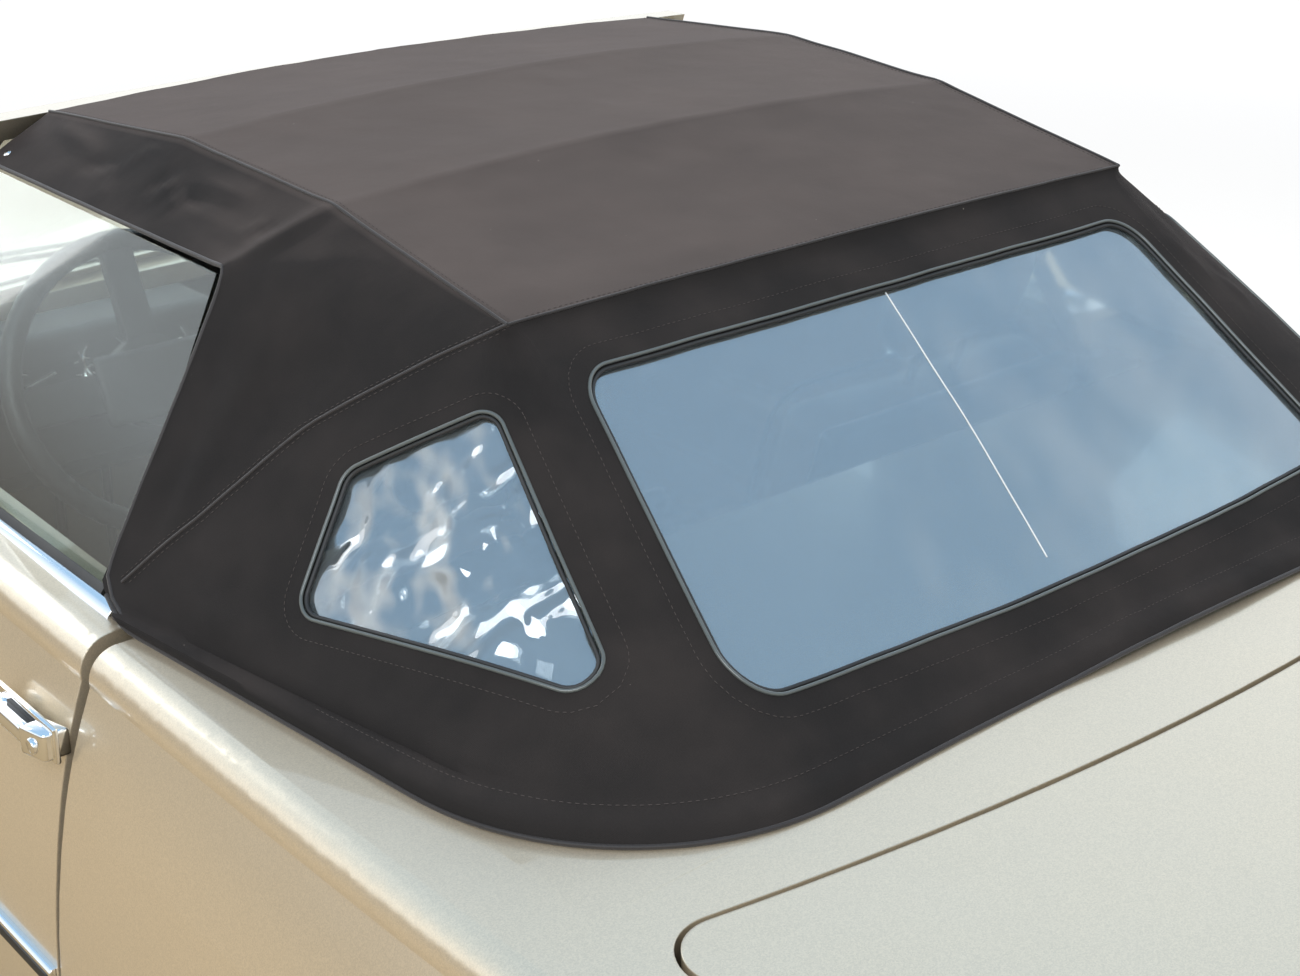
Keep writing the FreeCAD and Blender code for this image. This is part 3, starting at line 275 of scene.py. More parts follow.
def cut(obj, cutter):
    """Takes one closed mesh out of another and throws it away."""
    modify(obj, "BOOLEAN", object=cutter, operation="DIFFERENCE", solver="EXACT")
    bpy.data.objects.remove(cutter)
    return obj


def tube(name, points, radius, closed=False, sides=3, order=3):
    """A round strand through the points."""
    deselect()
    curve = bpy.data.curves.new(name, "CURVE")
    curve.dimensions = "3D"
    spline = curve.splines.new("NURBS")
    spline.points.add(len(points) - 1)
    for control, point in zip(spline.points, points):
        control.co = (*point, 1)
    spline.order_u = order
    spline.use_cyclic_u = closed
    spline.use_endpoint_u = not closed
    spline.resolution_u = 2
    curve.bevel_depth = radius
    curve.bevel_resolution = sides
    curve.use_fill_caps = True
    obj = bpy.data.objects.new(name, curve)
    bpy.context.scene.collection.objects.link(obj)
    take(obj)
    bpy.ops.object.convert(target="MESH")
    return smooth(outwards(added(name)), 60)


def revolved(name, profile, middle, steps=64):
    """A profile of (place along X, radius) turned round the X axis through a point."""
    deselect()
    bpy.ops.mesh.primitive_circle_add(vertices=len(profile), fill_type="NOTHING")
    obj = added(name)
    for vertex, (along, radius) in zip(obj.data.vertices, profile):
        vertex.co = Vector(middle) + Vector((along, 0, radius))
    in_edit(
        obj,
        lambda: bpy.ops.mesh.spin(
            steps=steps, angle=2 * math.pi, use_auto_merge=True, center=middle, axis=(1, 0, 0)
        ),
        lambda: bpy.ops.mesh.remove_doubles(threshold=1e-5),
        lambda: bpy.ops.mesh.normals_make_consistent(inside=False),
    )
    return obj


def flipped(obj, name):
    """A copy on the car's other side, with its own mesh."""
    copy = obj.copy()
    copy.data = obj.data.copy()
    copy.name = copy.data.name = name
    bpy.context.scene.collection.objects.link(copy)
    copy.data.transform(Matrix.Scale(-1, 4, (1, 0, 0)))
    copy.data.flip_normals()
    return copy


def finished(obj, finish, body="body", replaces=()):
    """Gives a piece its finish, the body that it rides on and the nodes that it replaces."""
    obj.data.materials.clear()
    obj.data.materials.append(MATERIALS[finish])
    if replaces:
        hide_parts(*replaces)
    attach(obj, body)
    return obj


def paired(left, finish, body="body", replaces=None):
    """Finishes a left piece and its mirror image. A body or node that ends in _ gets the side's name."""
    right = flipped(left, left.name.replace("left", "right"))
    for piece, side in ((left, "left"), (right, "right")):
        carrier = body + side if body.endswith("_") else body
        finished(piece, finish, carrier, [replaces + side] if replaces else ())


def placed(obj, where):
    obj.data.transform(where)
    return obj


def facing(direction):
    """Turns what was made flat at the origin to face a direction."""
    return direction.to_track_quat("Z", "Y").to_matrix().to_4x4()


def moulding(name, start, long, section, steps=1):
    """A section of (x, z) points, drawn out along the car from a place."""
    return drawn(name, [(x, start, z) for x, z in section], (0, long, 0), steps)


def mirrored(points):
    return [Vector((-point.x, point.y, point.z)) for point in points]


# Shader node groups and materials

def feed(tree, socket, value):
    """Links an input to the socket that it is given, or sets its value."""
    if isinstance(value, bpy.types.NodeSocket):
        tree.links.new(value, socket)
    else:
        socket.default_value = value


def add(tree, kind, inputs=None, **values):
    """Adds a shader node, sets its values and feeds its inputs."""
    made = tree.nodes.new("ShaderNode" + kind)
    for name, value in values.items():
        setattr(made, name, value)
    for name, value in (inputs or {}).items():
        feed(tree, made.inputs[name], value)
    return made


def maths(tree, operation, first, second=0.0, third=0.0):
    return add(tree, "Math", {0: first, 1: second, 2: third}, operation=operation).outputs[0]


def times(tree, first, second):
    return maths(tree, "MULTIPLY", first, second)


def parted(tree, vector):
    """The three parts of a vector."""
    return add(tree, "SeparateXYZ", {0: vector}).outputs


def ramp(tree, value, low, high, out_low=0.0, out_high=1.0):
    made = add(tree, "MapRange", {
        "Value": value, "From Min": low, "From Max": high, "To Min": out_low, "To Max": out_high,
    })
    return made.outputs["Result"]


def mixed(tree, factor, first, second, blend="MIX"):
    made = add(tree, "Mix", data_type="RGBA", blend_type=blend)
    for index, value in ((0, factor), (6, first), (7, second)):
        feed(tree, made.inputs[index], (*value, 1) if isinstance(value, tuple) else value)
    return made.outputs[2]


def noise_at(tree, place, scale, detail):
    return add(tree, "TexNoise", {"Vector": place, "Scale": scale, "Detail": detail}).outputs["Fac"]


def group(title, build, inputs, outputs):
    """A node group. Inputs whose value is None are vectors, and so is an output called Normal."""
    tree = bpy.data.node_groups.new(title, "ShaderNodeTree")
    for label, value in inputs.items():
        kind = "NodeSocketVector" if value is None else "NodeSocketFloat"
        socket = tree.interface.new_socket(label, in_out="INPUT", socket_type=kind)
        if value is not None:
            socket.default_value = value
    for label in outputs:
        kind = "NodeSocketVector" if label == "Normal" else "NodeSocketFloat"
        tree.interface.new_socket(label, in_out="OUTPUT", socket_type=kind)
    start, end = tree.nodes.new("NodeGroupInput"), tree.nodes.new("NodeGroupOutput")
    for label, socket in build(tree, start.outputs).items():
        tree.links.new(socket, end.inputs[label])
    return tree


def weave(tree, given):
    """Plain weave: threads that pass over and under each other, with painted shade where they dip and
    painted highlight on their crowns.
    """
    spaced = add(tree, "VectorMath", {0: given["Vector"], 3: given["Threads"]}, operation="SCALE")
    parts = parted(tree, spaced.outputs[0])
    across, along = (maths(tree, "SINE", times(tree, part, 2 * math.pi)) for part in (parts[0], parts[1]))
    uneven = noise_at(tree, given["Vector"], 700.0, 2.0)
    height = maths(tree, "MULTIPLY_ADD", times(tree, across, along), 0.35, uneven)
    # The second output is painted shade and highlight: darker on low parts of the threads and lighter on
    # high ones
    return {"Height": height, "Shade": ramp(tree, height, 0.1, 0.9, 0.75, 1.15)}


def mottle(tree, given):
    """Soft uneven tone at two scales."""
    large = noise_at(tree, given["Vector"], given["Scale"], 3.0)
    small = noise_at(tree, given["Vector"], times(tree, given["Scale"], 7.0), 4.0)
    blend = maths(tree, "MULTIPLY_ADD", small, 0.5, large)
    spread = maths(tree, "MULTIPLY_ADD", blend, given["Strength"], 1.0)
    return {"Tone": maths(tree, "MULTIPLY_ADD", given["Strength"], -0.75, spread)}


def grain(tree, given):
    """Fine pebbled grain of leather and moulded plastic."""
    cells = add(tree, "TexVoronoi", {"Vector": given["Vector"], "Scale": given["Scale"]},
                feature="SMOOTH_F1")
    fine = noise_at(tree, given["Vector"], given["Scale"], 3.0)
    return {"Height": maths(tree, "MULTIPLY_ADD", fine, 0.4, cells.outputs["Distance"])}


def edges(tree, given):
    """Rounded normals at sharp edges, and a mask of those edges."""
    bevel = add(tree, "Bevel", {"Radius": given["Radius"]}, samples=4).outputs[0]
    flat = add(tree, "NewGeometry").outputs["Normal"]
    same = add(tree, "VectorMath", {0: bevel, 1: flat}, operation="DOT_PRODUCT")
    return {"Normal": bevel, "Edge": ramp(tree, same.outputs["Value"], 0.98, 0.75)}


def dust(tree, given):
    """Dust that lies on upward faces in uneven patches."""
    upward = ramp(tree, parted(tree, add(tree, "NewGeometry").outputs["Normal"])[2], 0.2, 1.0)
    patch = ramp(tree, noise_at(tree, given["Vector"], 9.0, 6.0), 0.35, 0.75)
    return {"Dust": times(tree, times(tree, upward, patch), given["Amount"])}


def flakes(tree, given):
    """Metallic flakes: small cells of slightly different brightness."""
    cells = add(tree, "TexVoronoi", {"Vector": given["Vector"], "Scale": 900.0})
    return {"Sparkle": ramp(tree, parted(tree, cells.outputs["Color"])[0], 0.0, 1.0, 0.92, 1.08)}


def waves(tree, given):
    """Slack ripples of a flexible film."""
    broad = add(tree, "TexNoise", {
        "Vector": given["Vector"], "Scale": given["Scale"], "Detail": 1.0, "Distortion": 1.2,
    })
    return {"Height": broad.outputs["Fac"]}


GROUPS = {}


def make_groups():
    for build, title, inputs, outputs in (
        (weave, "Weave", {"Vector": None, "Threads": 900.0}, ("Height", "Shade")),
        (mottle, "Mottle", {"Vector": None, "Scale": 4.0, "Strength": 0.2}, ("Tone",)),
        (grain, "Grain", {"Vector": None, "Scale": 500.0}, ("Height",)),
        (edges, "Rounded edges", {"Radius": 0.002}, ("Normal", "Edge")),
        (dust, "Dust", {"Vector": None, "Amount": 0.2}, ("Dust",)),
        (flakes, "Flakes", {"Vector": None}, ("Sparkle",)),
        (waves, "Ripples", {"Vector": None, "Scale": 9.0}, ("Height",)),
    ):
        GROUPS[build] = group(title, build, inputs, outputs)


class Finish:
    """A material with its Principled shader and the coordinates that its patterns read."""

    def __init__(self, name, base, roughness, coordinates="Object", **sockets):
        self.material = bpy.data.materials.new(name)
        self.material.use_nodes = True
        self.tree = self.material.node_tree
        self.inputs = self.tree.nodes["Principled BSDF"].inputs
        self.base = tuple(base)[:3]
        self.place = add(self.tree, "TexCoord").outputs[coordinates]
        self.inputs["Base Color"].default_value = (*self.base, 1)
        self.inputs["Roughness"].default_value = roughness
        for label, value in sockets.items():
            self.inputs[label.replace("_", " ")].default_value = value
        self.colour = self.normal = self.edge = None
        self.heights = []

    def use(self, pattern, **inputs):
        """The outputs of a node group at the finish's own coordinates."""
        if pattern != edges:
            inputs.setdefault("Vector", self.place)
        return add(self.tree, "Group", inputs, node_tree=GROUPS[pattern]).outputs

    def noise(self, scale, detail):
        return noise_at(self.tree, self.place, scale, detail)

    def cells(self, scale, feature="SMOOTH_F1"):
        inputs = {"Vector": self.place, "Scale": scale}
        return add(self.tree, "TexVoronoi", inputs, feature=feature).outputs["Distance"]

    def tone(self, factor):
        """Multiplies the colour by a factor that changes over the surface."""
        self.colour = mixed(self.tree, 1.0, self.colour or self.base, factor, "MULTIPLY")
        return self

    def over(self, mask, colour):
        """Lays another colour over the base where a mask says."""
        self.colour = mixed(self.tree, mask, self.colour or self.base, colour)
        return self

    def mottled(self, scale, strength):
        return self.tone(self.use(mottle, Scale=scale, Strength=strength)["Tone"])

    def dusty(self, amount, colour, **where):
        return self.over(self.use(dust, Amount=amount, **where)["Dust"], colour)

    def rounded(self, radius):
        outputs = self.use(edges, Radius=radius)
        self.normal, self.edge = outputs["Normal"], outputs["Edge"]
        return self

    def worn(self, share, colour):
        """Shows another colour along the rounded edges."""
        return self.over(times(self.tree, self.edge, share), colour)

    def rough(self, value, low, high):
        self.tree.links.new(ramp(self.tree, value, 0.0, 1.0, low, high), self.inputs["Roughness"])
        return self

    def bump(self, height, distance, strength=1.0):
        self.heights.append((height, distance, strength))
        return self

    def smeared(self, scale, detail, low, high):
        return self.rough(self.noise(scale, detail), low, high)

    def grained(self, scale, distance, strength=1.0):
        return self.bump(self.use(grain, Scale=scale)["Height"], distance, strength)

    def done(self):
        if self.colour:
            self.tree.links.new(self.colour, self.inputs["Base Color"])
        normal = self.normal
        for height, distance, strength in self.heights:
            inputs = {"Height": height, "Distance": distance, "Strength": strength}
            if normal:
                inputs["Normal"] = normal
            normal = add(self.tree, "Bump", inputs).outputs[0]
        if normal:
            self.tree.links.new(normal, self.inputs["Normal"])
        return self.material


UNDERBODY = (0.045, 0.042, 0.038)


def paint_finish(base, name="champagne_paint", lower=False):
    """Metallic paint. On the lower body it ends where the sides turn under."""
    made = Finish(name, base, 0.30, Metallic=0.65, Coat_Weight=1.0, Coat_Roughness=0.035, Coat_IOR=1.5)
    tree = made.tree
    made.rounded(0.0026).tone(made.use(flakes)["Sparkle"]).mottled(1.6, 0.05)
    made.dusty(0.10, (0.60, 0.57, 0.50)).worn(0.25, (0.75, 0.66, 0.50))
    made.bump(made.noise(160.0, 1.0), 0.00002)
    # The well's lid lies flush in the deck, so the seam between them isn't rounded
    x, y, z = parted(tree, made.place)
    across = maths(tree, "ABSOLUTE", x)
    deck = times(tree, ramp(tree, y, 1.115, 1.110), maths(tree, "GREATER_THAN", y, 0.45))
    deck = times(tree, deck, maths(tree, "GREATER_THAN", z, 0.86))
    deck = times(tree, deck, maths(tree, "LESS_THAN", across, 0.745))
    flat = add(tree, "NewGeometry").outputs["Normal"]
    made.normal = mixed(tree, deck, made.normal, flat)
    if lower:
        below = ramp(tree, parted(tree, flat)[2], -0.35, -0.60)
        made.over(maths(tree, "MAXIMUM", below, maths(tree, "LESS_THAN", across, 0.78)), UNDERBODY)
    return made.done()


def cloth_finish(base):
    """Woven roof cloth, lightened on top by a painted sheen of the sky, with dust and specks of lint."""
    made = Finish("roof_cloth", base, 0.82, "UV", Sheen_Weight=0.10, Sheen_Roughness=0.30,
                  Sheen_Tint=(0.80, 0.68, 0.65, 1), Specular_IOR_Level=0.14)
    tree = made.tree
    threads = made.use(weave, Threads=620.0)
    # The weave's painted shade and highlight, multiplied into the cloth's colour
    made.tone(threads["Shade"]).mottled(3.5, 0.35)
    where = add(tree, "TexCoord").outputs["Object"]
    upward = parted(tree, add(tree, "NewGeometry").outputs["Normal"])[2]
    # Painted sheen: high faces of the roof that look up are mixed towards a lighter brown, standing in for
    # the sky's light on the cloth
    painted_sky_sheen = times(tree, ramp(tree, upward, 0.82, 1.0, 0.0, 0.70),
                  ramp(tree, parted(tree, where)[2], 1.18, 1.23))
    made.over(painted_sky_sheen, (0.118, 0.100, 0.095)).dusty(0.12, (0.17, 0.14, 0.13), Vector=where)
    lint = add(tree, "TexVoronoi", {"Vector": where, "Scale": 17.0, "Randomness": 1.0})
    speck = ramp(tree, lint.outputs["Distance"], 0.016, 0.010)
    made.over(times(tree, speck, 0.5), (0.45, 0.42, 0.38))
    made.bump(threads["Height"], 0.00025, 0.6).bump(made.noise(26.0, 5.0), 0.0016, 0.5)
    return made.done()


def film_finish(name, base, ripple, scale):
    """Aged flexible film: clear, a little hazy, with slack ripples. Its pale blue colour is a painted
    reflection of the sky.
    """
    made = Finish(name, base, 0.04, Transmission_Weight=0.90, IOR=2.0, Coat_Weight=1.0,
                  Coat_Roughness=0.01, Coat_IOR=2.0)
    made.mottled(2.5, 0.10).smeared(7.0, 5.0, 0.01, 0.07)
    return made.bump(made.use(waves, Scale=scale)["Height"], ripple).done()


def lens_finish(name, base, transmission, bump):
    made = Finish(name, base, 0.08, Transmission_Weight=transmission, IOR=1.49, Coat_Weight=0.5)
    return made.mottled(12.0, 0.12).bump(made.cells(240.0), bump).done()


def fin_finish():
    """Radiator core: fine upright tubes crossed by level fins, with painted shade in the gaps and painted
    highlight on the crests.
    """
    made = Finish("radiator_core", (0.035, 0.035, 0.036), 0.5, Metallic=0.5)
    x, _, z = parted(made.tree, made.place)
    across = maths(made.tree, "SINE", times(made.tree, x, 620.0))
    up = maths(made.tree, "SINE", times(made.tree, z, 1500.0))
    height = maths(made.tree, "MULTIPLY_ADD", up, 0.4, across)
    # Painted shade and highlight: the colour follows the fins' height, darker in the gaps and lighter on
    # the crests
    return made.tone(ramp(made.tree, height, -1.2, 1.2, 0.35, 1.6)).bump(height, 0.002).done()


def tail_finish():
    """Tail lamp: red with an amber outer end and a pale reversing field at the inner end."""
    made = Finish("tail_lamp", (0.40, 0.012, 0.010), 0.08, Transmission_Weight=0.25, IOR=1.49,
                  Coat_Weight=0.6)
    tree = made.tree
    out = maths(tree, "ABSOLUTE", parted(tree, made.place)[0])
    seam = maths(tree, "PINGPONG", maths(tree, "ADD", out, -0.53), 0.09)
    made.over(ramp(tree, out, 0.7095, 0.7105), (0.80, 0.24, 0.02))
    made.over(ramp(tree, out, 0.5305, 0.5295), (0.80, 0.80, 0.78))
    made.over(ramp(tree, seam, 0.0014, 0.0008), (0.02, 0.02, 0.02)).mottled(12.0, 0.12)
    return made.bump(made.cells(260.0), 0.0006).done()


def metal_finish(name, base, roughness, scale, amount=0.1, metallic=1.0, bump=0.0002):
    made = Finish(name, base, roughness, Metallic=metallic).rounded(0.0015).mottled(scale, 0.3)
    made.worn(0.4, tuple(min(1, c * 1.8 + 0.03) for c in base)).dusty(amount, (0.25, 0.22, 0.18))
    uneven = made.noise(scale * 12, 4.0)
    return made.rough(uneven, roughness * 0.7, roughness * 1.4).bump(uneven, bump).done()


def leather_finish(name, base):
    made = Finish(name, base, 0.46, Coat_Weight=0.08, Sheen_Weight=0.1).mottled(6.0, 0.35)
    creases = made.cells(38.0, "DISTANCE_TO_EDGE")
    made.grained(420.0, 0.0005, 0.7).bump(ramp(made.tree, creases, 0.0, 0.08), 0.0006, 0.35)
    return made.done()


def plastic_finish(name, base, roughness=0.5):
    made = Finish(name, base, roughness).rounded(0.0018).mottled(8.0, 0.25)
    made.worn(0.3, tuple(min(1, c * 2 + 0.02) for c in base)).dusty(0.12, (0.20, 0.18, 0.16))
    return made.grained(620.0, 0.0003, 0.6).done()


def carpet_finish():
    made = Finish("carpet", (0.055, 0.045, 0.038), 0.95, Sheen_Weight=0.3).mottled(9.0, 0.3)
    return made.bump(made.noise(420.0, 3.0), 0.002).done()


MATERIALS = {}
SURFACES = {}


def make_materials():
    colours = settings().finishes
    make_groups()
    MATERIALS.update({
        "paint": paint_finish(colours.paint),
        "lower_paint": paint_finish(colours.paint, "lower_body", True),
        "chrome": Finish("chrome", (0.86, 0.87, 0.88), 0.07, Metallic=1.0)
        .rounded(0.0012).smeared(24.0, 6.0, 0.03, 0.16).mottled(30.0, 0.06).done(),
        "cloth": cloth_finish(colours.cloth),
        "welt": Finish("seam_welt", (0.020, 0.016, 0.015), 0.62, Sheen_Weight=0.2)
        .mottled(20.0, 0.4).grained(900.0, 0.0002).done(),
        "thread": Finish("thread", (0.050, 0.040, 0.036), 0.7).mottled(60.0, 0.5).done(),
        "film": film_finish("rear_film", colours.film, 0.0015, 3.0),
        "slack_film": film_finish("quarter_film", colours.film, 0.010, 11.0),
        "bead": Finish("window_bead", colours.bead, 0.28, Coat_Weight=0.4).mottled(15.0, 0.3).done(),
        # Painted highlight: the pale finish of the tube along the rear film's bright line
        "fold": plastic_finish("film_highlight", (0.80, 0.84, 0.86), 0.3),
        "rubber": Finish("rubber", (0.018, 0.018, 0.018), 0.55).rounded(0.001)
        .dusty(0.25, (0.12, 0.11, 0.10)).mottled(18.0, 0.3).grained(700.0, 0.0001).done(),
        "glass": Finish("safety_glass", (0.86, 0.93, 0.90), 0.015, Transmission_Weight=1.0, IOR=1.52)
        .smeared(5.0, 7.0, 0.0, 0.05).mottled(3.0, 0.05).done(),
        "lamp": lens_finish("lamp_glass", (0.92, 0.93, 0.94), 0.95, 0.0004),
        "underbody": metal_finish("underbody_coat", UNDERBODY, 0.75, 6.0, 0.18, 0.0, 0.001),
        "black_steel": metal_finish("black_steel", (0.028, 0.028, 0.028), 0.45, 10.0, 0.2, 0.3),
        "cast_steel": metal_finish("cast_steel", (0.16, 0.155, 0.15), 0.6, 12.0, 0.3, 0.9, 0.0008),
        "bare_steel": metal_finish("bare_steel", (0.42, 0.39, 0.35), 0.38, 9.0, 0.2),
        "rim": metal_finish("rim_alloy", (0.66, 0.66, 0.65), 0.26, 8.0, 0.12, 1.0, 0.00005),
        "disc_steel": metal_finish("brake_steel", (0.42, 0.41, 0.40), 0.3, 16.0),
        "leather": leather_finish("tan_leather", colours.leather),
        "dark_leather": leather_finish("black_leather", (0.022, 0.020, 0.019)),
        "seat_welt": leather_finish("seat_welt", (0.16, 0.095, 0.055)),
        "plastic": plastic_finish("black_plastic", (0.030, 0.029, 0.028)),
        "dark_plastic": plastic_finish("dark_plastic", (0.016, 0.016, 0.016), 0.35),
        "tyre": Finish("tyre_rubber", (0.022, 0.022, 0.023), 0.75)
        .mottled(14.0, 0.4).dusty(0.5, (0.16, 0.145, 0.12)).grained(300.0, 0.0004, 0.6).done(),
        "carpet": carpet_finish(),
        "dial": plastic_finish("dial_face", (0.012, 0.012, 0.013), 0.4),
        "mirror": metal_finish("mirror", (0.85, 0.87, 0.88), 0.03, 2.0, 0.02, 1.0, 0.0),
        "plate": plastic_finish("blank_plate", (0.72, 0.72, 0.70), 0.35),
        "fins": fin_finish(),
        "tail": tail_finish(),
        "marks": plastic_finish("dial_marks", (0.75, 0.74, 0.70)),
    })


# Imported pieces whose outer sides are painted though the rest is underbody
LOWER_BODY = ("rear_floor", "floor_pan")
SLOT_FINISH = {
    "paint": "paint", "bright_trim": "chrome", "lamp_lens": "lamp", "tail_lens": "tail",
    "underbody": "underbody", "window_glass": "glass", "roof_fabric": "cloth", "clear_film": "film",
    "black_steel": "black_steel", "cast_steel": "cast_steel", "bare_steel": "bare_steel",
    "seat_leather": "leather", "black_plastic": "plastic", "tyre": "tyre", "rim_metal": "rim",
}


# Roof: foot and eave outlines as kink, corner, corner radius and height
FOOT = {"kink_x": 0.797, "kink_y": 0.310, "corner_x": 0.697, "corner_y": 1.096, "round": 0.275, "z": 0.903}
EAVE = {"kink_x": 0.569, "kink_y": 0.310, "corner_x": 0.466, "corner_y": 0.648, "round": 0.030, "z": 1.212}
# Bows: place, seam half width, seam height, crown height, and the eave's half width and place there
BOWS = [
    (-0.262, 0.486, 1.259, 1.273, 0.574, -0.262),
    (0.060, 0.472, 1.284, 1.305, 0.572, 0.060),
    (0.352, 0.463, 1.269, 1.288, 0.569, 0.310),
    (0.648, 0.462, 1.218, 1.222, 0.466, 0.648),
]
# How far down the skirt is worked out, as a share of its height at the deck
LOWEST = 1.12
# The cloth's edge behind the side window: its place at the eave and at the belt, and the belt's height
GLASS_EDGE_TOP, GLASS_EDGE_FOOT, GLASS_EDGE_LOW = 0.310, 0.366, 0.921
# Place of the hem's front end, and the height below which the cloth's edge turns back to it
HEM_FRONT, HEM_TURN = 0.438, 0.935
# Rows and columns of the cloth's grids
FLAP_ROWS, SKIRT_ROWS = 12, 38
FRONT_COLUMNS, SIDE_COLUMNS, CORNER_COLUMNS, REAR_COLUMNS = 60, 42, 26, 38


def between(a, b, share):
    return a + (b - a) * share


def eased(share):
    share = min(1.0, max(0.0, share))
    return share * share * (3 - 2 * share)


def outline_point(level, way):
    """A point of a roof outline, left half: 0 kink, 1 and 2 ends of the corner, 3 middle of the rear."""
    kink = Vector((level["kink_x"], level["kink_y"]))
    corner = Vector((level["corner_x"], level["corner_y"]))
    along, back = (kink - corner).normalized(), Vector((-1, 0))
    half = along.angle(back) / 2
    reach = level["round"] / math.tan(half)
    first, last = corner + along * reach, corner + back * reach
    if way <= 1:
        flat = kink.lerp(first, way)
    elif way <= 2:
        centre = corner + (along + back).normalized() * (level["round"] / math.sin(half))
        start = first - centre
        turn = (last - centre).angle_signed(start) * (way - 1)
        flat = centre + Matrix.Rotation(turn, 2) @ start
    else:
        flat = last.lerp(Vector((0, level["corner_y"])), way - 2)
    return Vector((flat.x, flat.y, level["z"]))


LOW_LEVEL = {key: between(EAVE[key], FOOT[key], LOWEST) for key in FOOT}


def skirt_point(way, share):
    """A point on the roof's side and rear: share 0 at the eave and 1 at the deck."""
    return outline_point(EAVE, way).lerp(outline_point(LOW_LEVEL, way), share / LOWEST)


def glass_edge(z):
    """Place of the cloth's front edge behind the side window at a height."""
    slant = between(GLASS_EDGE_TOP, GLASS_EDGE_FOOT, (EAVE["z"] - z) / (EAVE["z"] - GLASS_EDGE_LOW))
    return between(slant, HEM_FRONT, eased((HEM_TURN - z) / 0.03)) if z < HEM_TURN else slant


def column_way(way, share):
    """Shifts a column so that the first one follows the cloth's front edge."""
    if way > 1:
        return way
    eave, foot = outline_point(EAVE, 1), outline_point(LOW_LEVEL, 1)
    depth = between(eave.y, foot.y, share / LOWEST) - EAVE["kink_y"]
    front = (glass_edge(between(EAVE["z"], FOOT["z"], share)) - EAVE["kink_y"]) / depth
    return between(front, 1.0, way)


def seam_point(way):
    """The seam from the second bow round the rear corner to the middle of the rear bow."""
    second, rear = BOWS[2], BOWS[3]
    start = Vector((second[1], second[0], second[2]))
    corner = Vector((rear[1], rear[0], rear[2]))
    if way <= 1:
        return start.lerp(corner, way)
    across = max(0.0, way - 2)
    x = rear[1] * (1 - across)
    return Vector((x, rear[0], crowned(rear, x)))


def crowned(bow, x):
    return bow[2] + (bow[3] - bow[2]) * (1 - (x / bow[1]) ** 2)


def bow_at(station):
    """Bow values at a station along the roof, 0 at the header and 3 at the rear bow."""
    index = min(int(station), 2)
    share = station - index
    return [between(a, b, share) for a, b in zip(BOWS[index], BOWS[index + 1])], share


def top_point(across, station):
    """A point of the top panel: across from -1 to 1, station from 0 to 3."""
    bow, share = bow_at(station)
    x = bow[1] * across
    hollow = settings().roof.sag * math.sin(math.pi * share) ** 0.7 * (1 - across ** 2) ** 0.6
    return Vector((x, bow[0], crowned(bow, x) - hollow))


def flap_point(station, share):
    """A point of the panel over the side window: share 0 at the seam and 1 at the eave."""
    bow, _ = bow_at(station)
    return Vector((bow[1], bow[0], bow[2])).lerp(Vector((bow[4], bow[5], EAVE["z"])), share)


def surface_of(*names):
    """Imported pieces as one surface, for finding places on it."""
    gathered = bmesh.new()
    for name in names:
        gathered.from_mesh(NODES[name].data)
    tree = BVHTree.FromBMesh(gathered)
    gathered.free()
    return tree


def hem_shares(deck):
    """Where each column of the skirt meets the deck."""
    shares = {}
    for column in range(SIDE_COLUMNS + CORNER_COLUMNS + REAR_COLUMNS + 1):
        way, share = column_to_way(column), 1.0
        for _ in range(4):
            point = skirt_point(column_way(way, share), share)
            found = deck.find_nearest(Vector((point.x, point.y, point.z)))[0]
            share += (point.z - found.z - 0.002) / (EAVE["z"] - FOOT["z"])
        shares[column] = share
    return shares


def column_to_way(column):
    if column <= SIDE_COLUMNS:
        return column / SIDE_COLUMNS
    column -= SIDE_COLUMNS
    if column <= CORNER_COLUMNS:
        return 1 + column / CORNER_COLUMNS
    return 2 + (column - CORNER_COLUMNS) / REAR_COLUMNS


def skirt_column(column, shares):
    """Points down one column of the left skirt, from the seam over the eave to the hem."""
    way, foot_share = column_to_way(column), shares[column]
    seam, eave = seam_point(way), skirt_point(column_way(way, 0), 0)
    lower = 24
    falls = [foot_share * i / lower for i in range(lower + 1)]
    path = [skirt_point(column_way(way, fall), fall) for fall in falls]
    flap = (eave - seam).length
    soft = min(flap, between(0.014, 0.05, eased(way * 3)))
    if soft > 0.001:
        before = eave + (seam - eave).normalized() * soft
        after_index = max(1, round(soft / (path[-1] - path[0]).length * lower))
        after = path[after_index]
        curve = [(before.lerp(eave, t)).lerp(eave.lerp(after, t), t) for t in (i / 6 for i in range(7))]
        path = [seam] + curve + path[after_index + 1:]
    else:
        path = [seam] + path
    lengths = [0.0]
    for a, b in zip(path, path[1:]):
        lengths.append(lengths[-1] + (b - a).length)
    total = lengths[-1]
    rows = FLAP_ROWS + SKIRT_ROWS
    aligned = between(flap / total, FLAP_ROWS / rows, eased(column / 8))
    points = []
    for row in range(rows + 1):
        if row <= FLAP_ROWS:
            target = total * aligned * row / FLAP_ROWS
        else:
            target = total * between(aligned, 1.0, (row - FLAP_ROWS) / SKIRT_ROWS)
        index = next((i for i in range(1, len(lengths)) if lengths[i] >= target), len(lengths) - 1)
        span = lengths[index] - lengths[index - 1]
        share = (target - lengths[index - 1]) / span if span > 1e-9 else 1.0
        points.append((path[index - 1].lerp(path[index], min(1.0, share)), target, total))
    if column == 0:
        points[FLAP_ROWS] = (eave, points[FLAP_ROWS][1], total)
    return points


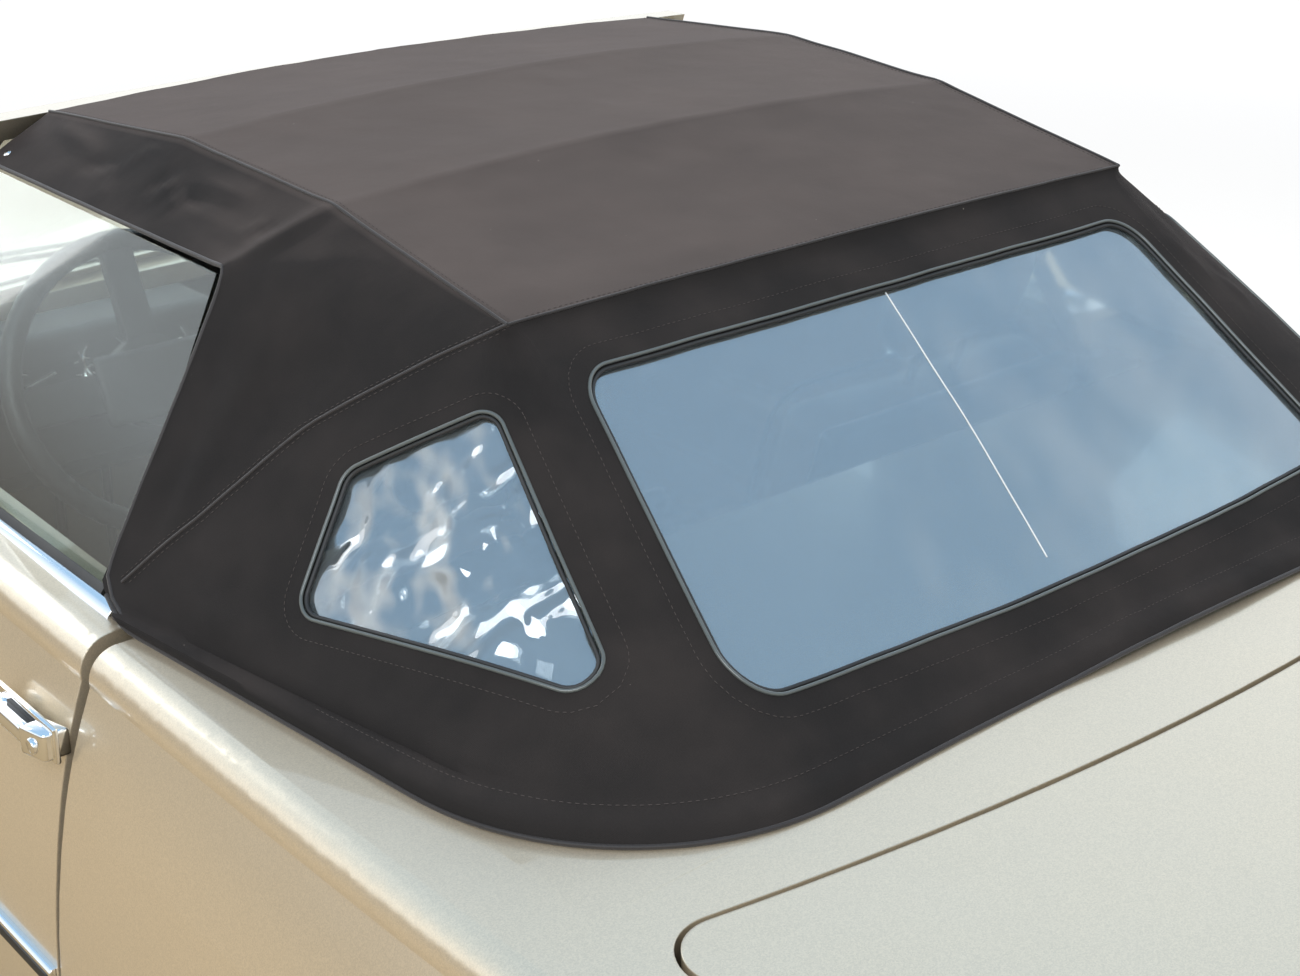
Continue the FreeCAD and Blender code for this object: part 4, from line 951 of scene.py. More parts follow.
def cloth_grid(name, columns, rows, place):
    """A grid whose points and cloth coordinates come from place(column, row)."""
    deselect()
    bpy.ops.mesh.primitive_grid_add(x_subdivisions=columns, y_subdivisions=rows, size=1)
    obj = added(name)
    mesh = obj.data
    spots = {}
    for vertex in mesh.vertices:
        column, row = round((vertex.co.x + 0.5) * columns), round((vertex.co.y + 0.5) * rows)
        point, cloth = place(column, row)
        spots[vertex.index] = cloth
        vertex.co = point
    layer = mesh.uv_layers[0].data
    for loop in mesh.loops:
        layer[loop.index].uv = spots[loop.vertex_index]
    return obj


# Folds of the roof cloth, left side: start, end, half width and height in metres; minus is a hollow
FOLDS = [
    ((0.519, 0.002, 1.249), (0.497, 0.012, 1.264), 0.0072, 0.0021),
    ((0.497, 0.012, 1.264), (0.493, 0.042, 1.268), 0.0072, 0.0017),
    ((0.559, 0.008, 1.221), (0.543, 0.005, 1.232), 0.0056, 0.0015),
    ((0.532, 0.079, 1.240), (0.506, 0.093, 1.258), 0.0072, -0.0021),
    ((0.538, 0.105, 1.235), (0.514, 0.107, 1.251), 0.0072, 0.0022),
    ((0.539, 0.128, 1.234), (0.524, 0.144, 1.243), 0.0064, 0.0020),
    ((0.524, 0.144, 1.243), (0.516, 0.190, 1.247), 0.0080, -0.0018),
    ((0.531, 0.160, 1.238), (0.531, 0.297, 1.233), 0.0048, 0.0017),
    ((0.528, 0.276, 1.236), (0.512, 0.289, 1.245), 0.0048, 0.0017),
    ((0.529, 0.294, 1.235), (0.507, 0.314, 1.246), 0.0048, -0.0015),
    ((0.500, -0.204, 1.254), (0.517, -0.075, 1.249), 0.0112, 0.0017),
    ((0.535, -0.072, 1.237), (0.514, -0.015, 1.251), 0.0096, -0.0021),
    ((0.505, 0.150, 1.256), (0.494, 0.240, 1.258), 0.0096, 0.0015),
    ((0.466, 0.350, 1.268), (0.569, 0.310, 1.212), 0.014, 0.0050),
    ((0.569, 0.310, 1.212), (0.597, 0.405, 1.141), 0.016, 0.0030),
    ((0.597, 0.405, 1.141), (0.640, 0.407, 1.090), 0.018, 0.0036),
    ((0.640, 0.407, 1.090), (0.705, 0.420, 1.000), 0.016, 0.0030),
    ((0.592, 0.345, 1.185), (0.655, 0.375, 1.085), 0.012, -0.0030),
    ((0.655, 0.375, 1.085), (0.722, 0.395, 0.985), 0.012, -0.0026),
    ((0.560, 0.470, 1.185), (0.640, 0.450, 1.090), 0.050, -0.0060),
    ((0.498, 0.785, 1.110), (0.497, 0.825, 1.082), 0.008, 0.0028),
    ((0.489, 0.765, 1.122), (0.503, 0.808, 1.094), 0.007, -0.0024),
    ((0.455, 0.745, 1.143), (0.466, 0.790, 1.112), 0.008, 0.0020),
    ((0.470, 0.655, 1.200), (0.480, 0.740, 1.140), 0.012, -0.0020),
    ((0.753, 0.460, 0.935), (0.745, 0.640, 0.925), 0.016, -0.0030),
    ((0.745, 0.640, 0.925), (0.700, 0.890, 0.925), 0.014, -0.0024),
    ((0.742, 0.485, 0.955), (0.728, 0.585, 0.950), 0.020, 0.0030),
    ((0.640, 0.985, 0.940), (0.560, 1.045, 0.940), 0.016, 0.0022),
    ((0.600, 1.000, 0.955), (0.500, 1.030, 0.955), 0.012, -0.0018),
]


def fold_height(point, folds):
    total = 0.0
    for start, end, width, height in folds:
        start, along = Vector(start), Vector(end) - Vector(start)
        share = min(1.0, max(0.0, (point - start).dot(along) / along.length_squared))
        gap = (point - start - along * share).length
        if gap < 3 * width:
            taper = math.sin(math.pi * between(0.12, 0.88, share))
            total += height * taper * math.exp(-(gap / width) ** 2)
    return total


# Hollow above the hem: depth and half width
GROOVE, GROOVE_HALF = 0.0032, 0.005
# Where the hem stands off the deck: middle, half width, height, and how far up that dies away
LIFT_AT, LIFT_HALF, LIFT, LIFT_UP = -0.08, 0.30, 0.008, 0.03
# Unevenness of the cloth, coarse and fine: waves per metre and height
RIPPLES = ((9, 0.0016), (26, 0.0006))


def hem_relief(drop, total, way):
    """Height of the rolled hem at a distance down a column."""
    sizes = settings().roof
    above = total - drop
    fullness = between(1.0, 0.45, eased((way - 1.0) / 0.9))
    groove = -GROOVE * math.exp(-((above - sizes.hem) / GROOVE_HALF) ** 2)
    if above >= sizes.hem:
        return groove
    return groove + sizes.roll * fullness * math.sin(math.pi * above / sizes.hem) ** 0.8


def hem_lift(x, above):
    """The hem stands a little off the deck behind the rear window."""
    reach = min(1.0, abs(x - LIFT_AT) / LIFT_HALF)
    return LIFT * math.cos(math.pi / 2 * reach) ** 2 * math.exp(-(above / LIFT_UP) ** 2)


def make_roof_skin():
    """The whole roof cloth as one welded sheet, with its folds, before its windows are cut."""
    shares = hem_shares(surface_of("rear_body", "roof_well_lid", "boot_lid"))
    half = SIDE_COLUMNS + CORNER_COLUMNS + REAR_COLUMNS
    columns = [skirt_column(column, shares) for column in range(half + 1)]
    rows = FLAP_ROWS + SKIRT_ROWS
    reliefs = []

    def place_skirt(column, row):
        side = 1 if column <= half else -1
        own = column if side > 0 else 2 * half - column
        point, drop, total = columns[own][row]
        relief = hem_relief(drop, total, column_to_way(own)) + hem_lift(point.x * side, total - drop)
        reliefs.append((Vector((point.x * side, point.y, point.z)), relief))
        return (point.x * side, point.y, point.z), (column * 0.0125, -drop)

    def place_flap(side):
        def place(column, row):
            station = 2 * column / FRONT_COLUMNS
            point = flap_point(station, row / FLAP_ROWS)
            return (point.x * side, point.y, point.z), (point.y, 0.6 * side - row * 0.0102)
        return place

    def place_top(column, row):
        if row <= FRONT_COLUMNS:
            station = 2 * row / FRONT_COLUMNS
        else:
            station = 2 + (row - FRONT_COLUMNS) / SIDE_COLUMNS
        point = top_point(1 - column / REAR_COLUMNS, station)
        return point, (point.x + 3, point.y)

    pieces = [cloth_grid("roof_skirt", 2 * half, rows, place_skirt)]
    for side in (1, -1):
        pieces.append(cloth_grid("roof_flap", FRONT_COLUMNS, FLAP_ROWS, place_flap(side)))
    pieces.append(cloth_grid("roof_top", 2 * REAR_COLUMNS, FRONT_COLUMNS + SIDE_COLUMNS, place_top))
    skin = outwards(joined("roof_skin", pieces), 0.0005)
    hem = {tuple(round(c, 4) for c in point): height for point, height in reliefs}
    mesh = skin.data
    if sum(v.normal.z for v in mesh.vertices) < 0:
        in_edit(skin, lambda: bpy.ops.mesh.flip_normals())
    normals = [vertex.normal.copy() for vertex in mesh.vertices]
    (coarse, swell), (fine, crinkle) = RIPPLES
    for vertex, normal in zip(mesh.vertices, normals):
        point = vertex.co.copy()
        own = Vector((abs(point.x), point.y, point.z))
        height = hem.get(tuple(round(c, 4) for c in point), 0.0)
        side = 0 if point.x > 0 else 1.7
        ripple = noise.noise(own * coarse + Vector((side, 0, 0))) * swell
        ripple += noise.noise(own * fine + Vector((0, side, 0))) * crinkle
        height += ripple + fold_height(own, FOLDS)
        vertex.co = point + normal * height
    return skin


REAR_WINDOW = [(-0.408, 0.701, 1.1), (0.420, 0.701, 1.1), (0.480, 1.003, 1.1), (-0.440, 1.003, 1.1)]
REAR_ROUND, REAR_BOW = 0.042, 0.014
QUARTER_WINDOW = [
    (0.507, 0.688, 1.158), (0.608, 0.580, 1.086), (0.695, 0.620, 0.977), (0.572, 0.957, 0.976),
]
QUARTER_ROUND = 0.026
# How far off the cloth rays start and cutters reach through it
PROBE = 0.3
# A film's lap under the cloth, its depth below the cloth's outer side and its thickness
FILM_LAP, FILM_DEPTH, FILM_THICK = 0.014, 0.0058, 0.0012
# Half thickness of the thread, its height over the cloth and the stitches' pitch in stitch lengths
THREAD, THREAD_UP, STITCH_PITCH = 0.0005, 0.0002, 1.5
# Places on the rear film along a line of painted highlight, where a pale tube stands in for a bright line
# of light
HIGHLIGHT_LINE = [(0.0, 0.702, 1.175), (0.018, 0.832, 1.085), (0.036, 0.921, 1.024), (0.050, 0.984, 0.980)]
# Seam from the corner of the rear bow down to the foot of the side window's edge
SIDE_SEAM = [
    (0.462, 0.648, 1.218), (0.508, 0.600, 1.184), (0.536, 0.575, 1.163), (0.607, 0.500, 1.104),
    (0.649, 0.473, 1.061), (0.692, 0.444, 1.014), (0.723, 0.417, 0.980), (0.744, 0.400, 0.955),
    (0.755, 0.391, 0.942),
]


def bowed(point):
    """Shifts a place on the rear window so that its foot is bowed."""
    (_, top, _), (half, foot, _) = REAR_WINDOW[1], REAR_WINDOW[2]
    share = (point.y - top) / (foot - top)
    return point + Vector((0, REAR_BOW * share * (1 - (point.x / half) ** 2), 0))


def rounded_ring(corners, radius, spacing=0.02):
    """Points round a closed outline with rounded corners."""
    corners = [Vector(corner) for corner in corners]
    ring = []
    for index, corner in enumerate(corners):
        back = (corners[index - 1] - corner).normalized()
        ahead = (corners[(index + 1) % len(corners)] - corner).normalized()
        half = back.angle(ahead) / 2
        centre = corner + (back + ahead).normalized() * (radius / math.sin(half))
        start, end = (corner + way * (radius / math.tan(half)) for way in (back, ahead))
        ring += [centre + (start.lerp(end, t / 7) - centre).normalized() * radius for t in range(8)]
    even = []
    for point, after in zip(ring, ring[1:] + ring[:1]):
        parts = max(1, round((after - point).length / spacing))
        even += [point.lerp(after, part / parts) for part in range(parts)]
    return even


def shifted_ring(ring, direction, distance):
    """The outline moved outwards in its own plane, or inwards where the distance is minus."""
    middle = sum(ring, Vector()) / len(ring)
    moved = []
    for index, point in enumerate(ring):
        along = ring[(index + 1) % len(ring)] - ring[index - 1]
        away = along.cross(direction).normalized()
        if away.dot(point - middle) < 0:
            away = -away
        moved.append(point + away * distance)
    return moved


def laid(surface, ring, direction, height):
    """The outline's points dropped on a surface along a direction, a little above it."""
    placed = []
    for point in ring:
        spot, normal, _, _ = surface.ray_cast(point + direction * PROBE, -direction)
        placed.append(spot + normal * height)
    return placed


def pressed(surface, points, height):
    """Points moved to the nearest place on a surface, a little above it."""
    placed = []
    for point in points:
        spot, normal, _, _ = surface.find_nearest(Vector(point))
        placed.append(spot + normal * height)
    return placed


def spaced(points, gap, closed=False):
    """Places at equal distances along a line, with the direction there."""
    line = [Vector(point) for point in points]
    if closed:
        line.append(line[0])
    places, left = [], gap / 2
    for start, end in zip(line, line[1:]):
        span = (end - start).length
        while left <= span:
            places.append((start.lerp(end, left / span), (end - start).normalized()))
            left += gap
        left -= span
    return places


def stitched(name, surface, lines):
    """Rows of stitches along lines on a surface. A line is its points and whether it is closed."""
    long = settings().roof.stitch
    bpy.ops.mesh.primitive_uv_sphere_add(segments=4, ring_count=2, radius=1)
    template = bpy.context.object
    places = []
    for points, closed in lines:
        for spot, along in spaced(points, long * STITCH_PITCH, closed):
            nearest, normal, _, _ = surface.find_nearest(spot)
            size = Matrix.Diagonal((THREAD, THREAD, long / 2, 1))
            places.append(Matrix.Translation(nearest + normal * THREAD_UP) @ facing(along) @ size)
    return repeated(name, template, places)


def sides_of(points):
    """The points on the left and their mirror images on the right."""
    left = [Vector(point) for point in points]
    return left, mirrored(left)


def quarter_direction():
    a, b, c, d = (Vector(corner) for corner in QUARTER_WINDOW)
    normal = (c - a).cross(d - b).normalized()
    return normal if normal.z > 0 else -normal


def window_rings():
    """Outline and direction of each window: rear, left and right."""
    rear = [bowed(point) for point in rounded_ring(REAR_WINDOW, REAR_ROUND)]
    quarter = rounded_ring(QUARTER_WINDOW, QUARTER_ROUND, 0.012)
    left, right = sides_of(quarter)
    away = quarter_direction()
    return [
        ("rear", rear, Vector((0, 0, 1))),
        ("quarter_left", left, away),
        ("quarter_right", right, Vector((-away.x, away.y, away.z))),
    ]


def film_pane(name, surface, corners, direction, cells, slack, wave, bend=None):
    """A flexible window: a thin sheet just under the cloth, slack between its edges."""
    a, b, c, d = (Vector(corner) for corner in corners)
    middle = (a + b + c + d) / 4
    a, b, c, d = (corner + (corner - middle).normalized() * FILM_LAP for corner in (a, b, c, d))

    def place(column, row):
        u, v = column / cells, row / cells
        flat = a.lerp(b, u).lerp(d.lerp(c, u), v)
        if bend:
            flat = bend(flat)
        spot, normal, _, _ = surface.ray_cast(flat + direction * PROBE, -direction)
        ease = (math.sin(math.pi * u) * math.sin(math.pi * v)) ** 0.5
        own = Vector((abs(spot.x), spot.y, spot.z)) * wave
        ripple = noise.noise(own) + 0.4 * noise.noise(own * 2.3)
        point = spot - normal * (FILM_DEPTH + 0.5 * slack * ease * (1 - ripple * 1.6))
        return point, (u, v)

    pane = cloth_grid(name, cells, cells, place)
    if sum(face.normal.dot(direction) for face in pane.data.polygons) < 0:
        in_edit(pane, lambda: bpy.ops.mesh.flip_normals())
    modify(pane, "SOLIDIFY", thickness=FILM_THICK, offset=-1)
    return smooth(pane, 60)


class CONVERTIBLE_OT_stage(bpy.types.Operator):
    """Adds the floor, the soft studio light and the camera at the photograph's angle"""

    bl_idname = "convertible.stage"
    bl_label = "Stage"

    def execute(self, context):
        stage = settings().stage
        scene = context.scene
        scene.view_settings.view_transform = "Standard"
        deselect()
        bpy.ops.mesh.primitive_circle_add(vertices=96, radius=40, fill_type="NGON", location=(0, 0, 0))
        floor = added("floor")
        pale = bpy.data.materials.new("floor_pale")
        pale.use_nodes = True
        tree, shader = pale.node_tree, pale.node_tree.nodes["Principled BSDF"]
        seen = add(tree, "LightPath")
        floors = tuple(stage.floor), tuple(stage.reflected_floor)
        shown = mixed(tree, seen.outputs["Is Glossy Ray"], *floors)
        away = add(tree, "VectorMath", {0: add(tree, "TexCoord").outputs["Object"]}, operation="LENGTH")
        far = ramp(tree, away.outputs["Value"], stage.fade_start, stage.fade_end)
        fade = times(tree, far, seen.outputs["Is Camera Ray"])
        tree.links.new(mixed(tree, fade, shown, (0.0, 0.0, 0.0)), shader.inputs["Base Color"])
        tree.links.new(fade, shader.inputs["Emission Strength"])
        shader.inputs["Emission Color"].default_value = (0.97, 0.97, 0.97, 1)
        shader.inputs["Roughness"].default_value = 0.9
        floor.data.materials.append(pale)
        self.make_world(scene, stage)
        for name, place, aim, size, watts in (
            ("key", (3.6, 3.2, 4.6), (0.2, 0.4, 0.8), 3.4, 190),
            ("fill", (-3.0, -1.0, 4.8), (0, 0, 0.7), 3.5, 100),
            ("front", (1.5, -5.5, 3.4), (0, -1, 0.6), 3.5, 90),
        ):
            bpy.ops.object.light_add(type="AREA", location=place)
            lamp = bpy.context.object
            lamp.name = name
            lamp.data.size = size
            lamp.data.energy = watts
            lamp.visible_glossy = name != "fill"
            lamp.rotation_euler = (Vector(aim) - Vector(place)).to_track_quat("-Z", "Y").to_euler()
        self.make_camera(scene, stage)
        return {"FINISHED"}

    def make_world(self, scene, stage):
        """Soft light from all round: white near the horizon and pale blue overhead."""
        world = bpy.data.worlds.new("soft_light")
        world.use_nodes = True
        tree = world.node_tree
        height = parted(tree, add(tree, "TexCoord").outputs["Generated"])[2]
        tint = mixed(tree, ramp(tree, height, 0.30, 0.70), tuple(stage.sky_low), tuple(stage.sky_high))
        skyline = ramp(tree, height, 0.06, 0.19)
        around = mixed(tree, skyline, tuple(stage.street), tint)
        seen = add(tree, "LightPath")
        gloss = seen.outputs["Is Glossy Ray"]
        plain = maths(tree, "MAXIMUM", seen.outputs["Is Camera Ray"], seen.outputs["Is Transmission Ray"])
        shown = mixed(tree, gloss, (0.97, 0.97, 0.97), around)
        gleam = times(tree, gloss, ramp(tree, skyline, 0.0, 1.0, 0.85, stage.gleam))
        strength = maths(tree, "MAXIMUM", maths(tree, "MAXIMUM", plain, gleam), stage.sky_strength)
        back = tree.nodes["Background"]
        tree.links.new(shown, back.inputs["Color"])
        tree.links.new(strength, back.inputs["Strength"])
        scene.world = world

    def make_camera(self, scene, stage):
        yaw, pitch, roll = stage.camera_yaw, stage.camera_pitch, stage.camera_roll
        level = math.cos(pitch)
        view = Vector((-math.sin(yaw) * level, -math.cos(yaw) * level, -math.sin(pitch)))
        right = view.cross(Vector((0, 0, 1))).normalized()
        up = right.cross(view)
        turned = Matrix.Rotation(-roll, 3, view)
        right, up = turned @ right, turned @ up
        axes = Matrix((right, up, -view)).transposed()
        bpy.ops.object.camera_add(
            location=(stage.camera_x, stage.camera_y, stage.camera_z), rotation=axes.to_euler()
        )
        camera = bpy.context.object
        camera.data.sensor_width = 36
        camera.data.lens = stage.lens
        camera.data.clip_start = 0.01
        scene.camera = camera


class CONVERTIBLE_OT_finishes(bpy.types.Operator):
    """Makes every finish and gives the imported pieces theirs"""

    bl_idname = "convertible.finishes"
    bl_label = "Finishes"

    def execute(self, context):
        make_materials()
        slots = {row["node"]: row["material_slot"] for row in frame["record"]["subparts"]}
        for name, node in NODES.items():
            finish = MATERIALS["lower_paint" if name in LOWER_BODY else SLOT_FINISH[slots[name]]]
            for slot in node.material_slots:
                slot.material = finish
        return {"FINISHED"}


class CONVERTIBLE_OT_roof(bpy.types.Operator):
    """Models the roof cloth with its folds, seams, stitches, hem and window openings"""

    bl_idname = "convertible.roof"
    bl_label = "Roof cloth"

    def execute(self, context):
        sizes = settings().roof
        skin = make_roof_skin()
        SURFACES["roof"] = surface = BVHTree.FromObject(skin, context.evaluated_depsgraph_get())
        modify(skin, "SOLIDIFY", thickness=sizes.cloth, offset=-1)
        for name, ring, direction in window_rings():
            base = [point - direction * PROBE / 2 for point in ring]
            cut(skin, drawn(name, base, direction * PROBE))
        roof = finished(skin, "cloth", replaces=["roof_cloth"])
        smooth(roof, 50)
        self.make_seams(surface, sizes)
        self.make_stitches(surface)
        self.make_edges(surface, context)
        return {"FINISHED"}

    def make_seams(self, surface, sizes):
        """Welts along the side seams, round the rear corners and over the rear bow."""
        welts = []
        for side in (1, -1):
            line = [top_point(side, station / 10) for station in range(31)]
            welts.append(tube("welt", pressed(surface, line, 0.0006), sizes.piping))
        for line in sides_of(SIDE_SEAM):
            even = [spot for spot, _ in spaced(line, 0.03)]
            path = [line[0]] + even + [line[-1]]
            welts.append(tube("welt", pressed(surface, path, 0.0006), sizes.piping))
        across = [top_point(share / 20, 3) for share in range(-20, 21)]
        welts.append(tube("welt", pressed(surface, across, 0.0004), sizes.piping * 0.8))
        finished(joined("roof_seams", welts), "welt")

    def make_stitches(self, surface):
        lines = []
        for _, ring, direction in window_rings():
            lines.append((laid(surface, shifted_ring(ring, direction, 0.020), direction, 0), True))
        for side in (1, -1):
            lines.append(([top_point(side * 0.984, t / 10) for t in range(31)], False))
        for gap in (-0.007, 0.007):
            for line in sides_of([(x, y + gap, z) for x, y, z in SIDE_SEAM]):
                lines.append((line, False))
        for way in (2.985, 3.0):
            lines.append(([top_point(share / 20, way) for share in range(-19, 20)], False))
        hem = [skirt_point(column_way(t / 20, 0.93), 0.93) for t in range(14, 61)]
        lines += [(line, False) for line in sides_of(hem)]
        finished(stitched("roof_stitches", surface, lines), "thread")

    def make_edges(self, surface, context):
        """Bound edges over and behind the side windows, the edge of the hem and the press studs."""
        edges, studs = [], []
        top = [(BOWS[0][4], y / 1000, EAVE["z"] + 0.0005) for y in range(-262, 300, 20)]
        rear = [skirt_point(column_way(0, t / 12), t / 12) for t in range(13)]
        for line in sides_of(top + [tuple(point) for point in rear]):
            edges.append(tube("edge", pressed(surface, line, -0.0015), 0.0026))
        hem = [skirt_point(t / 20, 1.0) for t in range(2, 61)]
        for line in sides_of(hem):
            edges.append(tube("edge", pressed(surface, line, 0.0), 0.0024))
        finished(joined("roof_edges", edges), "welt")
        down = Vector((0, 0.004, -0.0105))
        front = [flap_point(0, share / 5) + down for share in (4, 3, 2, 1)]
        front += [top_point(1 - across / 10, 0) + down for across in range(21)]
        front += mirrored(front[3::-1])
        seal = tube("roof_front_seal", front, 0.0095)
        finished(seal, "rubber")
        for line in sides_of([(0.560, -0.236, 1.227)]):
            spot, normal, _, _ = surface.find_nearest(line[0])
            studs.append(disc("stud", spot + normal * 0.001, normal, 0.0052, 0.0030, 0.0009, 24))
            studs.append(disc("stud", spot + normal * 0.0026, normal, 0.0030, 0.0014, 0.0005, 24))
        finished(smooth(joined("roof_studs", studs)), "chrome")


class CONVERTIBLE_OT_windows(bpy.types.Operator):
    """Models the roof's flexible windows and the beads round them"""

    bl_idname = "convertible.windows"
    bl_label = "Roof windows"

    def execute(self, context):
        surface = SURFACES["roof"]
        rings = window_rings()
        rear = film_pane("rear_film", surface, REAR_WINDOW, rings[0][2], 70, 0.004, 3.1, bowed)
        finished(rear, "film", replaces=["rear_window"])
        panes = []
        for index, (name, ring, direction) in enumerate(rings[1:]):
            corners = sides_of(QUARTER_WINDOW)[index]
            panes.append(film_pane(name, surface, corners, direction, 90, 0.011, 19.0))
        quarter = joined("quarter_films", panes)
        finished(quarter, "slack_film", replaces=["quarter_windows"])
        beads, gaskets = [], []
        for _, ring, direction in rings:
            outer = laid(surface, shifted_ring(ring, direction, 0.0005), direction, 0.0004)
            beads.append(tube("bead", outer, settings().roof.bead, closed=True))
            # Painted shade: a dark rubber tube just inside each opening's edge stands in for the shadow
            # along that edge
            inner = laid(surface, shifted_ring(ring, direction, -0.0035), direction, -0.0026)
            gaskets.append(tube("gasket", inner, 0.0022, closed=True))
        finished(joined("window_beads", beads), "bead")
        finished(joined("window_gaskets", gaskets), "rubber")
        # Painted highlight: a pale tube laid on the rear film stands in for a bright line of light across
        # it
        line = [Vector(point) for point in HIGHLIGHT_LINE]
        path = [line[0]] + [spot for spot, _ in spaced(line, 0.02)] + [line[-1]]
        film = BVHTree.FromObject(rear, context.evaluated_depsgraph_get())
        highlight_tube = tube("rear_film_highlight", laid(film, path, rings[0][2], 0.0), 0.0009)
        finished(highlight_tube, "fold")
        return {"FINISHED"}


WHEELS = [
    ("front_left", 1, -1.395, "knuckle_left"), ("front_right", -1, -1.395, "knuckle_right"),
    ("rear_left", 1, 1.065, "body"), ("rear_right", -1, 1.065, "body"),
]
TRACK_HALF, HUB = 0.725, 0.321
# Tyre section, outer half: distance from the wheel's middle plane and radius
TYRE_SECTION = [
    (0.076, 0.178), (0.088, 0.180), (0.0945, 0.190), (0.0930, 0.197), (0.0965, 0.203), (0.1005, 0.222),
    (0.1025, 0.240), (0.1020, 0.262), (0.0985, 0.283), (0.0950, 0.289), (0.0955, 0.292), (0.0900, 0.304),
    (0.0800, 0.3115), (0.0740, 0.3145), (0.0560, 0.3150),
]
# Rows of tread blocks: place across, width, length and shift round the tyre as a share of the pitch
TREAD = [(-0.074, 0.024, 0.016, 0.0), (-0.040, 0.028, 0.019, 0.5), (0.0, 0.034, 0.026, 0.15),
         (0.040, 0.028, 0.019, 0.5), (0.074, 0.024, 0.016, 0.0)]
TREAD_PITCHES, TREAD_SLANT = 80, math.radians(18)
# Foot and height of a block in the middle of the tread and at its shoulder
TREAD_MIDDLE, TREAD_SHOULDER = (0.3125, 0.0083), (0.3085, 0.0105)


def rolled(side, y):
    """Moves a wheel that was made round the origin to its place; the right one is turned about."""
    turn = Matrix.Rotation(math.pi, 4, "Z") if side < 0 else Matrix.Identity(4)
    return Matrix.Translation((side * TRACK_HALF, y, HUB)) @ turn


class CONVERTIBLE_OT_wheels(bpy.types.Operator):
    """Models tyres with tread, wheel bolts, caps, brake discs and calipers"""

    bl_idname = "convertible.wheels"
    bl_label = "Wheels"

    def execute(self, context):
        for tag, side, y, carrier in WHEELS:
            wheel = "wheel_" + tag
            for name, piece, finish, body in (
                ("tyre_dressed_", self.make_tyre(), "tyre", wheel),
                ("wheel_bolts_", self.make_bolts(), "bare_steel", wheel),
                ("wheel_trims_", self.make_trims(), "chrome", wheel),
                ("brake_disc_", self.make_disc(), "disc_steel", wheel),
                ("brake_caliper_", self.make_caliper(-side if y < 0 else side), "cast_steel", carrier),
            ):
                placed(piece, rolled(side, y)).name = name + tag
                finished(piece, finish, body, ["tyre_" + tag] if finish == "tyre" else ())
        return {"FINISHED"}

    def make_tyre(self):
        section = TYRE_SECTION + [(-x, r) for x, r in reversed(TYRE_SECTION)]
        tyre = revolved("tyre", section, (0, 0, 0), 96)
        smooth(tyre, 40)
        brick = block("brick", (-0.5, -0.5, 0), (0.5, 0.5, 1), 0.06, 1)
        places = []
        for across, width, long, shift in TREAD:
            for number in range(TREAD_PITCHES):
                angle = 2 * math.pi * (number + shift) / TREAD_PITCHES
                slant = math.copysign(TREAD_SLANT, across) if across else 0
                foot, height = TREAD_MIDDLE if abs(across) < 0.06 else TREAD_SHOULDER
                places.append(
                    Matrix.Rotation(angle, 4, "X") @ Matrix.Translation((across, 0, foot))
                    @ Matrix.Rotation(slant, 4, "Z") @ Matrix.Diagonal((width, long, height, 1))
                )
        return joined("tyre", [tyre, repeated("tread", brick, places)])

    def make_bolts(self):
        pieces = []
        count, ring = 5, 0.052
        for number in range(count):
            angle = 2 * math.pi * number / count
            spot = Vector((0.048, math.sin(angle) * ring, math.cos(angle) * ring))
            pieces.append(disc("bolt", spot + Vector((0.006, 0, 0)), (1, 0, 0), 0.0095, 0.016, 0.0012, 6))
            pieces.append(disc("washer", spot, (1, 0, 0), 0.0125, 0.006, 0.001, 24))
        valve = disc("valve", (0.052, 0.0, 0.150), (1, 0, 0), 0.004, 0.034, 0.001, 16)
        return smooth(joined("bolts", pieces + [valve]), 40)

    def make_trims(self):
        ring = revolved("trim_ring", [
            (0.084, 0.164), (0.0885, 0.170), (0.0905, 0.180), (0.0925, 0.1835), (0.0905, 0.1860),
            (0.0872, 0.1800), (0.0865, 0.1715), (0.082, 0.166),
        ], (0, 0, 0), 96)
        cap = revolved("cap", [
            (0.052, 0.0335), (0.060, 0.0335), (0.068, 0.0300), (0.0725, 0.0220), (0.0745, 0.0120),
            (0.0750, 0.0002), (0.0600, 0.0002),
        ], (0, 0, 0), 48)
        return smooth(joined("wheel_trims", [ring, cap]), 40)

    def make_disc(self):
        return smooth(revolved("brake_disc", [
            (-0.0065, 0.045), (-0.0065, 0.072), (-0.0085, 0.076), (-0.0175, 0.076), (-0.0175, 0.136),
            (-0.0065, 0.136), (-0.0065, 0.084), (-0.0055, 0.045),
        ], (0, 0, 0), 64), 30)

    def make_caliper(self, way):
        near, far = sorted((way * 0.086, way * 0.150))
        body = block("caliper", (-0.034, near, -0.058), (0.012, far, 0.058), 0.010, 3)
        near, far = sorted((way * 0.024, way * 0.100))
        bracket = block("bracket", (-0.038, near, -0.030), (-0.024, far, 0.030), 0.003, 2)
        return smooth(joined("brake_caliper", [body, bracket]), 40)


# Ends of the belt moulding and of the window's wiper along the door
BELT_ENDS, WIPER_ENDS = (-0.552, 0.394), (-0.552, 0.357)


